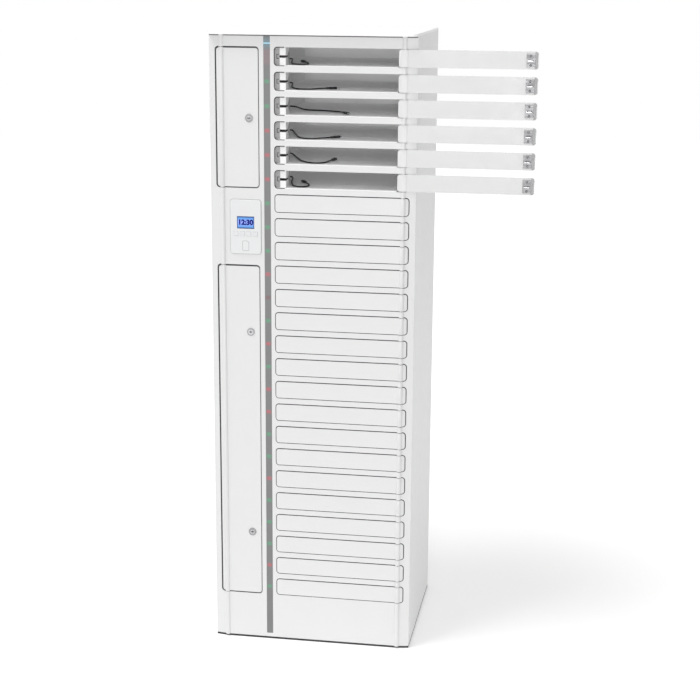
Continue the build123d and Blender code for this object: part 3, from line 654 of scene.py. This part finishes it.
# Edge seal along the end of every bay door, on its inner face
SEAL_NEAR, SEAL_FAR, SEAL_THICKNESS, SEAL_INSET = 1.8 * MM, 9.2 * MM, 1.2 * MM, 1.2 * MM
SEAL_CORNER, SEAL_STEPS, SEAL_SMOOTH = 5.5 * MM, 5, 30


def seal_outline(half_height):
    """Corners of the seal's outline: distance from the door's end, and height about its middle."""
    x, z = SEAL_NEAR + SEAL_CORNER, half_height - SEAL_CORNER
    return [
        (SEAL_FAR, -half_height), (SEAL_FAR, half_height),
        *arc(x, z, SEAL_CORNER, 90, SEAL_STEPS), *arc(x, -z, SEAL_CORNER, 180, SEAL_STEPS),
    ]


for number in BAYS:
    centre, facing = striker_centre(number)
    low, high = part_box(door_name(number))
    end = high.x if is_open(number) else low.x
    outline = seal_outline((high.z - low.z) / 2 - SEAL_INSET)
    seal = bmesh.new()
    loops = [
        [
            seal.verts.new((end + facing * off, centre.y + facing * lift, centre.z + rise))
            for off, rise in outline
        ]
        for lift in (0, SEAL_THICKNESS)
    ]
    join_rings(seal, *loops)
    seal.faces.new(loops[1])
    seal.faces.new(list(reversed(loops[0])))
    add_piece(f"door_seal_{number:02d}", seal, seal_rubber, door_name(number), SEAL_SMOOTH)

# Black bands in the windows: painted shade for the dark line round each shut door, and at the lock
# end of each open one.
# In the folded front, a flat lies round each hinge and a wing falls back outside it.
WINDOW_CORNER, DOOR_GAP = 8.8 * MM, 1.6 * MM
WING_SLOPE = math.tan(math.radians(10))
FLAT_RISE, FLAT_HALF, FLAT_FOOT = 3.2 * MM, 6.63 * MM, 9.7 * MM
ROD_CLEAR, ROD_DIP, LEAF_CLEAR = 3 * MM, 2.2 * MM, 3 * MM
GAP_SHADE_NEAR, GAP_SHADE_FAR, GAP_SHADE_LIP = 0.03 * MM, 1.4 * MM, -0.55 * MM
GAP_SHADE_PROUD, GAP_SHADE_LIFT = -0.12 * MM, 0.2 * MM
GAP_SHADE_RISE, GAP_SHADE_SIDE = 0.45 * MM, 0.35 * MM
END_REACH = 26 * MM


def beyond_hinge(x, hinge_x):
    """How far x is from the hinge towards the cabinet's side."""
    return x - hinge_x if hinge_x > 0 else hinge_x - x


def sheet_back(x, hinge_x):
    """How far behind the front face the folded front's back surface is, at x."""
    out = beyond_hinge(x, hinge_x)
    if out > FLAT_HALF:
        return FLAT_RISE + (out - FLAT_HALF) * WING_SLOPE
    share = min(max((-out - FLAT_HALF) / (FLAT_FOOT - FLAT_HALF), 0), 1)
    return FLAT_RISE + (SHEET - FLAT_RISE) * share


def sheet_face(x, hinge_x):
    """How far behind the front face the folded front's outer surface is, at x."""
    return max(beyond_hinge(x, hinge_x), 0) * WING_SLOPE


def kinks_at(hinge_x):
    """Where the front's surfaces change near a hinge, and where a door's trim dips."""
    offs = (-FLAT_FOOT, -FLAT_HALF, -ROD_CLEAR, ROD_CLEAR, FLAT_HALF, FLAT_FOOT)
    return [hinge_x + off for off in offs]


def end_loop(low_x, low_z, high_z, until, inset):
    """Places round the end of a window away from its hinge, from until and back to it."""
    radius = WINDOW_CORNER - inset
    centre_x = low_x + inset + radius
    return [
        (until, high_z - inset),
        *arc(centre_x, high_z - inset - radius, radius, 90, CORNER_STEPS),
        *arc(centre_x, low_z + inset + radius, radius, 180, CORNER_STEPS),
        (until, low_z + inset),
    ]


# The shade band's section: inset from the window, surface and lift from it, share of the lip's
# shift
GAP_SHADE_SECTION = (
    (GAP_SHADE_LIP, sheet_face, GAP_SHADE_PROUD, 1), (GAP_SHADE_FAR, sheet_face, GAP_SHADE_PROUD, 0),
    (GAP_SHADE_FAR, sheet_back, GAP_SHADE_LIFT, 0), (GAP_SHADE_NEAR, sheet_back, GAP_SHADE_LIFT, 0),
    (GAP_SHADE_NEAR, sheet_face, 0, 0), (GAP_SHADE_LIP, sheet_face, 0, 1),
)


def gap_shade_depth(x, hinge_x, inset, surface, lift):
    """Depth of a shade band corner; the inner ones keep clear of the opened door's back."""
    depth = surface(x, hinge_x) + lift
    beside_leaf = inset == GAP_SHADE_FAR and beyond_hinge(x, hinge_x) > FLAT_HALF
    return max(depth, LEAF_CLEAR) if beside_leaf else depth


def gap_shade_rows(mesh, outline, hinge_x, side):
    """The shade band's long rows of corners; outline gives the places at an inset."""
    return [
        [
            mesh.verts.new((
                x + shift * side, front + gap_shade_depth(x, hinge_x, inset, surface, lift),
                z + shift * GAP_SHADE_RISE,
            ))
            for x, z in outline(inset)
        ]
        for inset, surface, lift, shift in GAP_SHADE_SECTION
    ]


def add_gap_shade(mesh, name):
    """Painted shade band in the window of one door."""
    low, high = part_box(name)
    hinge_x = joints[name]["pos_m"][0]
    low_z, high_z = low.z - DOOR_GAP, high.z + DOOR_GAP
    if high.x > cabinet_right:
        shut_low_x = 2 * hinge_x - high.x
        until = shut_low_x + END_REACH
        join_bar(mesh, gap_shade_rows(
            mesh, lambda inset: end_loop(shut_low_x - DOOR_GAP, low_z, high_z, until, inset),
            hinge_x, 0,
        ))
        return
    low_x, high_x = low.x - DOOR_GAP, high.x + DOOR_GAP
    kinks = kinks_at(hinge_x)
    join_band(mesh, gap_shade_rows(
        mesh,
        lambda inset: rounded_loop(low_x, high_x, low_z, high_z, WINDOW_CORNER, inset, kinks),
        hinge_x, GAP_SHADE_SIDE if hinge_x > 0 else -GAP_SHADE_SIDE,
    ))


gap_shade = bmesh.new()
for name in (*SERVICE_DOORS, *(door_name(number) for number in BAYS)):
    add_gap_shade(gap_shade, name)
add_piece("window_edging", gap_shade, edge_rubber, "cabinet")

# Wider black band of painted shade on the service doors' own faces, along their gap lines; it dips
# towards the front over the hinge rod
WIDE_SHADE_LEFT, WIDE_SHADE_RIGHT, WIDE_SHADE_TOP, WIDE_SHADE_BOTTOM = 1.5 * MM, 0.3 * MM, 1.5 * MM, 1.2 * MM
WIDE_SHADE_PROUD = 0.12 * MM
for name in SERVICE_DOORS:
    low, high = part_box(name)
    hinge_x = joints[name]["pos_m"][0]
    wide_shade = bmesh.new()
    wide_shade_loops = []
    for wide, lift in ((0, 0), (0, -WIDE_SHADE_PROUD), (1, -WIDE_SHADE_PROUD), (1, 0)):
        places = rounded_loop(
            low.x - DOOR_GAP + wide * WIDE_SHADE_LEFT, high.x + DOOR_GAP - wide * WIDE_SHADE_RIGHT,
            low.z - DOOR_GAP + wide * WIDE_SHADE_BOTTOM, high.z + DOOR_GAP - wide * WIDE_SHADE_TOP,
            WINDOW_CORNER, DOOR_GAP + GAP_SHADE_NEAR, kinks_at(hinge_x),
        )
        wide_shade_loops.append([])
        for x, z in places:
            dip = ROD_DIP if abs(x - hinge_x) < ROD_CLEAR + TOUCH else 0
            depth = sheet_face(x, hinge_x) + lift - dip
            wide_shade_loops[-1].append(wide_shade.verts.new((x, front + depth, z)))
    join_band(wide_shade, wide_shade_loops)
    add_piece(name.replace("service_door", "door_trim"), wide_shade, edge_rubber, name)

# Dark strip under the roof's overhang, along the folded front: painted shade for the shadow under
# the roof's edge
ROOF_SHADE_TOP, ROOF_SHADE_BOTTOM, ROOF_SHADE_PROUD, ROOF_SHADE_END = 7.2 * MM, 10.4 * MM, 0.8 * MM, 0.8 * MM
roof_shade_reach = cabinet_right - ROOF_SHADE_END
roof_shade_fold = sheet_face(roof_shade_reach, bay_hinge_x)
roof_shade_path = [
    (-roof_shade_reach, roof_shade_fold), (-bay_hinge_x, 0), (bay_hinge_x, 0), (roof_shade_reach, roof_shade_fold),
]
roof_shade = bmesh.new()
roof_shade_rows = [
    [roof_shade.verts.new((x, front + fold - proud, roof_top - drop)) for x, fold in roof_shade_path]
    for proud, drop in (
        (0, ROOF_SHADE_BOTTOM), (ROOF_SHADE_PROUD, ROOF_SHADE_BOTTOM), (ROOF_SHADE_PROUD, ROOF_SHADE_TOP), (0, ROOF_SHADE_TOP),
    )
]
join_bar(roof_shade, roof_shade_rows)
add_piece("roof_seal", roof_shade, roof_foam, "cabinet")

# Black strip under the sheets, round the foot of the cabinet: painted shade for the shadow line at
# its foot
FOOT_TOP, FOOT_BOTTOM, FOOT_INSET, FOOT_THICK = 5.7 * MM, 0.3 * MM, 0.4 * MM, 3 * MM


def foot_loop(inset, z):
    """Corners round the cabinet's foot, along the folded front, set in by inset."""
    edge, face = cabinet_right - inset, front + inset
    side_face = face + sheet_face(edge, bay_hinge_x)
    return [
        (bay_hinge_x, face, z), (edge, side_face, z), (edge, back - inset, z),
        (-edge, back - inset, z), (-edge, side_face, z), (-bay_hinge_x, face, z),
    ]


foot = bmesh.new()
foot_loops = [
    [foot.verts.new(corner) for corner in foot_loop(inset, z)]
    for inset, z in (
        (FOOT_INSET, FOOT_BOTTOM), (FOOT_INSET, FOOT_TOP),
        (FOOT_THICK, FOOT_TOP), (FOOT_THICK, FOOT_BOTTOM),
    )
]
join_band(foot, foot_loops)
add_piece("foot_strip", foot, edge_rubber, "cabinet")

# Key slots on the lock plugs' faces, drawn as black marks: painted shade in place of recessed
# slots
KEY_HALF_LENGTH, KEY_HALF_HEIGHT, KEY_PROUD = 4.6 * MM, 1.2 * MM, 0.1 * MM
for name in CAM_LOCKS:
    face_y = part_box(name)[0].y
    axis_x, _, axis_z = joints[name]["pos_m"]
    key_slot = bmesh.new()
    add_box(
        key_slot,
        Vector((axis_x - KEY_HALF_LENGTH, face_y - KEY_PROUD, axis_z - KEY_HALF_HEIGHT)),
        Vector((axis_x + KEY_HALF_LENGTH, face_y, axis_z + KEY_HALF_HEIGHT)),
    )
    add_piece(name.replace("cam_lock", "key_slot"), key_slot, black_plastic, name)

# Screws round the back panel
BACK_SCREW_HEIGHTS = (0.12, 0.42, 0.72, 1.02, 1.32, 1.62)
BACK_SCREW_INSET, BACK_SCREW_R, BACK_SCREW_HEIGHT = 7 * MM, 3.5 * MM, 1.5 * MM
back_screws = bmesh.new()
for z in BACK_SCREW_HEIGHTS:
    for side in (-1, 1):
        spot = Vector((side * (cabinet_right - BACK_SCREW_INSET), back, z))
        add_screw(back_screws, spot, Vector((0, 1, 0)), BACK_SCREW_R, BACK_SCREW_HEIGHT)
add_piece("back_screws", back_screws, zinc, "cabinet", SCREW_SMOOTH)

# Latch staples beside the lock noses: an upright and two level bars
STAPLE_LEFT, STAPLE_RIGHT, STAPLE_HALF = -97.5 * MM, -91 * MM, 6 * MM
STAPLE_BAR, STAPLE_PROUD = 1.3 * MM, 1.5 * MM
staple_bend = STAPLE_LEFT + STAPLE_BAR
staples = bmesh.new()
for number in BAYS:
    z = door_middle(number)
    for left, right, bottom, top in (
        (STAPLE_LEFT, staple_bend, -STAPLE_HALF, STAPLE_HALF),
        (staple_bend, STAPLE_RIGHT, STAPLE_HALF - STAPLE_BAR, STAPLE_HALF),
        (staple_bend, STAPLE_RIGHT, -STAPLE_HALF, STAPLE_BAR - STAPLE_HALF),
    ):
        add_box(
            staples, Vector((left, lock_face - STAPLE_PROUD, z + bottom)),
            Vector((right, lock_face, z + top)),
        )
add_piece("latch_staples", staples, dark_steel, "cabinet")

# Black bands above and below the slot of every lock nose: painted shade that widens the slot's
# dark line
SLOT_SHADE_HALF, SLOT_SHADE_NEAR, SLOT_SHADE_FAR, SLOT_SHADE_PROUD = 7.7 * MM, 2.35 * MM, 3.3 * MM, 0.4 * MM
nose_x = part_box(door_name(BAY_COUNT))[0].x + STRIKER_FROM_END
slot_shade = bmesh.new()
for number in BAYS:
    z = door_middle(number)
    for bottom, top in ((SLOT_SHADE_NEAR, SLOT_SHADE_FAR), (-SLOT_SHADE_FAR, -SLOT_SHADE_NEAR)):
        add_box(
            slot_shade, Vector((nose_x - SLOT_SHADE_HALF, nose_face - SLOT_SHADE_PROUD, z + bottom)),
            Vector((nose_x + SLOT_SHADE_HALF, nose_face, z + top)),
        )
add_piece("slot_lips", slot_shade, edge_rubber, "cabinet")

# Figures on the display
FIGURE_SIZE, FIGURE_THICK, FIGURE_BOLD, FIGURE_PROUD = 19 * MM, 0.02 * MM, 1 * MM, 0.03 * MM


def figure_mesh():
    """The display's figures as a mesh in place."""
    figures = bpy.data.curves.new("figures", "FONT")
    figures.body = "12:30"
    figures.align_x = "CENTER"
    figures.align_y = "CENTER"
    figures.size = FIGURE_SIZE
    figures.extrude = FIGURE_THICK
    figures.offset = FIGURE_BOLD
    source = add_object("figure_source", figures)
    place = Vector((display_middle.x, display_low.y - FIGURE_PROUD, display_middle.z))
    source.matrix_world = Matrix.Translation(place) @ Matrix.Rotation(math.radians(90), 4, "X")
    bpy.context.view_layer.update()
    seen_source = source.evaluated_get(bpy.context.evaluated_depsgraph_get())
    mesh = bpy.data.meshes.new_from_object(seen_source)
    mesh.transform(source.matrix_world)
    bpy.data.objects.remove(source)
    mesh.materials.clear()
    mesh.materials.append(display_ink)
    return mesh


display_figures = add_object("display_figures", figure_mesh())
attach(display_figures, "cabinet")

# Card symbol under the buttons: a thin outline with one corner cut
CARD_HALF = Vector((9.0, 0, 13.7)) * MM
CARD_LINE, CARD_CUT, CARD_ROUNDING = 0.9 * MM, 4.5 * MM, 2.2 * MM
CARD_CUT_CHANGE, CARD_STEPS, CARD_UP, CARD_PROUD = 0.4, 4, 22.3 * MM, 0.1 * MM
card_x = (panel_low.x + panel_high.x) / 2
card_z = panel_low.z + CARD_UP


def card_outline(inset):
    """Places round the card, set in by inset, about its middle."""
    half_x, half_z = CARD_HALF.x - inset, CARD_HALF.z - inset
    cut = CARD_CUT - inset * CARD_CUT_CHANGE
    rounding = CARD_ROUNDING - inset
    x, z = half_x - rounding, half_z - rounding
    return [
        (half_x - cut, half_z), (half_x, half_z - cut),
        *arc(x, -z, rounding, 0, CARD_STEPS, -90), *arc(-x, -z, rounding, -90, CARD_STEPS, -90),
        *arc(-x, z, rounding, 180, CARD_STEPS, -90),
    ]


card = bmesh.new()
card_loops = [
    [card.verts.new((card_x + x, panel_low.y + off, card_z + z)) for x, z in card_outline(inset)]
    for inset, off in (
        (0, CARD_PROUD), (0, -CARD_PROUD), (CARD_LINE, -CARD_PROUD), (CARD_LINE, CARD_PROUD),
    )
]
join_band(card, card_loops)
add_piece("card_symbol", card, symbol_grey, "cabinet")

# Thin sealing bead round the control panel's face
BEAD_WIDTH, BEAD_HEIGHT, PANEL_CORNER = 1.1 * MM, 0.5 * MM, 7 * MM
bead = bmesh.new()
bead_loops = [
    [
        bead.verts.new((x, front - lift, z))
        for x, z in rounded_loop(
            panel_low.x, panel_high.x, panel_low.z, panel_high.z, PANEL_CORNER, -grow
        )
    ]
    for grow, lift in ((0, 0), (0, BEAD_HEIGHT), (BEAD_WIDTH, BEAD_HEIGHT), (BEAD_WIDTH, 0))
]
join_band(bead, bead_loops)
add_piece("panel_bead", bead, outline_grey, "cabinet")

# Charging leads: millimetres right of the divider's left face, back from the front face and up
# from the shelf. REST is the height of a lead lying on its shelf and END that of its plug. Their
# lengths are those of the frame's own leads.
LEAD_DIAMETER = 4 * MM
SHELF_UNDER_MIDDLE = 22.5 * MM
REST = 2.3
END = 3.6
START = ((0, 180, 8), (9.5, 180, 8))
LEAD_ROUTES = {
    1: [
        *START, (16, 173, 7), (19, 157, 4.5), (22, 130, REST), (29, 96, REST), (37, 64, REST),
        (46, 32, REST), (69, 14, REST), (87, 32, REST), (83, 66, REST), (70, 98, END),
        (57, 128, END),
    ],
    2: [
        *START, (16, 173, 7), (19, 157, 4.5), (22, 132, REST), (31, 92, REST), (42, 56, REST),
        (60, 24, REST), (94, 25, REST), (121, 45, END), (140, 60, END),
    ],
    3: [
        *START, (22, 177, 8), (36, 167, 5), (54, 149, REST), (84, 136, REST), (115, 131, REST),
        (143, 117, REST), (163, 92, END), (181, 66, END),
    ],
    4: [
        *START, (16, 174, 7), (22, 160, 4.5), (31, 136, REST), (42, 100, REST), (54, 58, REST),
        (70, 25, REST), (99, 12, REST), (129, 31, END), (152, 60, END),
    ],
    5: [
        *START, (16, 174, 7), (23, 160, 4.5), (35, 137, REST), (45, 108, REST), (58, 71, REST),
        (79, 35, REST), (107, 15, REST), (132, 33, REST), (140, 64, END), (144, 96, END),
    ],
    6: [
        *START, (16, 173, 7), (19, 157, 4.5), (22, 130, REST), (28, 98, REST), (36, 70, REST),
        (43, 41, REST), (60, 19, REST), (82, 23, REST), (88, 49, REST), (77, 80, END),
        (63, 108, END),
    ],
}
OVAL_CORNERS, OVAL_POWER, GRIP_SMOOTH = 24, 3.2, 40


def oval(width, height):
    """Rounded rectangle as the radius at each angle: a superellipse."""
    def shape(angle):
        level = abs(math.cos(angle)) / (width / 2)
        upright = abs(math.sin(angle)) / (height / 2)
        return (level**OVAL_POWER + upright**OVAL_POWER) ** (-1 / OVAL_POWER)
    return shape


def loft(sections, start, along, across, up):
    """A closed body through (distance, width, height) sections in millimetres."""
    mesh = bmesh.new()
    loops = [
        ring(
            mesh, start + along * away * MM, across, up, OVAL_CORNERS,
            oval(width * MM, height * MM),
        )
        for away, width, height in sections
    ]
    for first, second in zip(loops, loops[1:]):
        join_rings(mesh, first, second)
    cap_ends(mesh, loops)
    return mesh


RELIEF = (
    (-11, 4.5, 4.5), (-10.8, 5.0, 5.0), (-9.2, 5.2, 5.2), (-9, 4.7, 4.7), (-8, 4.7, 4.7),
    (-7.8, 5.5, 5.2), (-6.2, 5.7, 5.4), (-6, 5.0, 4.9), (-5, 5.0, 4.9), (-4.8, 6.0, 5.5),
    (-3.2, 6.3, 5.6), (-3, 5.4, 5.0), (-2, 5.5, 5.0), (-1.6, 6.6, 5.2), (-0.4, 8.0, 5.4),
)
GRIP = (
    (0.0, 9.6, 5.6), (0.8, 10.6, 6.2), (3.0, 11.0, 6.4), (6.0, 10.6, 6.1), (6.3, 10.1, 5.7),
    (7.2, 10.1, 5.7), (7.5, 10.6, 6.1), (8.9, 10.6, 6.1), (9.2, 10.1, 5.7), (10.1, 10.1, 5.7),
    (10.4, 10.6, 6.1), (11.8, 10.6, 6.1), (12.1, 10.1, 5.7), (13.0, 10.1, 5.7),
    (13.3, 10.6, 6.1), (16.5, 11.0, 6.4), (19.2, 10.8, 6.3), (20.0, 9.8, 5.6),
)
SHELL = ((19.5, 8.3, 2.6), (26.2, 8.3, 2.6), (26.5, 7.9, 2.3), (26.5, 7.0, 1.6), (21.5, 7.0, 1.6))


def lead_curve(name, points):
    """A round cord along points."""
    line = bpy.data.curves.new(name, "CURVE")
    line.dimensions = "3D"
    line.bevel_depth = LEAD_DIAMETER / 2
    line.bevel_resolution = 4
    line.resolution_u = 10
    line.use_fill_caps = True
    spline = line.splines.new("NURBS")
    spline.points.add(len(points) - 1)
    for point, place in zip(spline.points, points):
        point.co = (*place, 1)
    spline.order_u = 3
    spline.use_endpoint_u = True
    line.materials.append(lead_rubber)
    return line


for number, route in LEAD_ROUTES.items():
    origin = Vector((divider_left, front, door_middle(number) - SHELF_UNDER_MIDDLE))
    points = [origin + Vector(place) * MM for place in route]
    name = f"charging_lead_{number}"
    lead = add_object(name, lead_curve(name, points))
    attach(lead, "cabinet")
    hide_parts("charging_leads")
    along = (points[-1] - points[-2]).normalized()
    across = along.cross(Vector((0, 0, 1))).normalized()
    up = across.cross(along)
    grip, shell = (
        add_piece(
            f"lead_{part}_{number}", loft(sections, points[-1], along, across, up), material,
            "cabinet", GRIP_SMOOTH,
        )
        for part, sections, material in (
            ("grip", RELIEF + GRIP, black_plastic), ("shell", SHELL, zinc),
        )
    )
    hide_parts("lead_connectors")

# Slightly rounded edges on the frame's pieces, by width in millimetres
ROUNDED = {
    "roof": 0.6, "panel_housing": 0.4, "bay_locks": 0.4, "power_adapters": 0.8,
    "controller": 0.8, **{name: 0.25 for name in CAM_LOCKS},
    **{name: 0.4 for name in SERVICE_DOORS}, **{door_name(number): 0.35 for number in BAYS},
}
WELD_REACH, SHARP_ANGLE = 0.001 * MM, math.radians(40)
for name, width in ROUNDED.items():
    weld = nodes[name].modifiers.new("weld", "WELD")
    weld.merge_threshold = WELD_REACH
    bevel = nodes[name].modifiers.new("bevel", "BEVEL")
    bevel.width = width * MM
    bevel.segments = 2
    bevel.limit_method = "ANGLE"
    bevel.angle_limit = SHARP_ANGLE
    bevel.harden_normals = True


# Floor: white where the camera sees it, with a little bounce on the cabinet's foot
def seen_directly(tree):
    """1 for what the camera sees directly, in a mirror or through glass, else 0."""
    path = tree.nodes.new("ShaderNodeLightPath")
    seen = value_node(
        tree, "MAXIMUM", path.outputs["Is Camera Ray"], path.outputs["Is Glossy Ray"]
    )
    return value_node(tree, "MAXIMUM", seen, path.outputs["Is Transmission Ray"])


FLOOR_RADIUS, FLOOR_CORNERS, FLOOR_WHITE = 14, 96, 0.94
NEAR_LIFT, FAR_LIFT, LIFT_START, LIFT_END = 0.22, 0.50, 0.45, 3.0
NEAR_BOUNCE, BOUNCE_START, BOUNCE_END = 0.25, 0.6, 2.0
floor_mesh = bmesh.new()
bmesh.ops.create_circle(
    floor_mesh, cap_ends=True, segments=FLOOR_CORNERS, radius=FLOOR_RADIUS
)
floor_data = bpy.data.meshes.new("floor")
floor_mesh.to_mesh(floor_data)
floor_mesh.free()
floor = add_object("floor", floor_data)

floor_material = bpy.data.materials.new("floor")
floor_material.use_nodes = True
floor_tree = floor_material.node_tree
floor_shader = shader_of(floor_material)
floor_shader.inputs["Base Color"].default_value = (FLOOR_WHITE, FLOOR_WHITE, FLOOR_WHITE, 1)
floor_shader.inputs["Roughness"].default_value = 0.9
floor_shader.inputs["Specular IOR Level"].default_value = 0.1
floor_shader.inputs["Emission Color"].default_value = (1, 1, 1, 1)
floor_place = floor_tree.nodes.new("ShaderNodeTexCoord").outputs["Object"]
floor_reach = floor_tree.nodes.new("ShaderNodeVectorMath")
floor_reach.operation = "LENGTH"
floor_tree.links.new(floor_place, floor_reach.inputs[0])
away = floor_reach.outputs["Value"]
lift_here = soft_step(floor_tree, away, LIFT_START, LIFT_END, NEAR_LIFT, FAR_LIFT)
bounce = soft_step(floor_tree, away, BOUNCE_START, BOUNCE_END, NEAR_BOUNCE, 0)
seen = seen_directly(floor_tree)
unseen = value_node(floor_tree, "SUBTRACT", 1.0, seen)
lift = value_node(
    floor_tree, "ADD", value_node(floor_tree, "MULTIPLY", seen, lift_here),
    value_node(floor_tree, "MULTIPLY", unseen, bounce),
)
floor_tree.links.new(lift, floor_shader.inputs["Emission Strength"])
floor_data.materials.append(floor_material)

# World and lamps
WORLD_LIGHT = 0.61
world = bpy.data.worlds.new("studio")
world.use_nodes = True
bpy.context.scene.world = world
world_tree = world.node_tree
background = world_tree.nodes["Background"]
background.inputs["Color"].default_value = (1, 1, 1, 1)
shown = value_node(world_tree, "MULTIPLY", seen_directly(world_tree), 1 - WORLD_LIGHT)
strength = value_node(world_tree, "ADD", shown, WORLD_LIGHT)
world_tree.links.new(strength, background.inputs["Strength"])


def add_lamp(name, place, target, size, power):
    """A square lamp at place that shines at target."""
    lamp = add_object(name, bpy.data.lights.new(name, "AREA"))
    lamp.data.size = size
    lamp.data.energy = power
    lamp.location = place
    lamp.rotation_mode = "QUATERNION"
    lamp.rotation_quaternion = (Vector(target) - Vector(place)).to_track_quat("-Z", "Y")


add_lamp("key", (-3.0, -2.2, 8.5), (0, 0, 0.9), 3.5, 330)
add_lamp("front_light", (0.4, -7.0, 1.5), (0, 0, 0.8), 0.9, 98)

bpy.context.scene.view_settings.view_transform = "Standard"
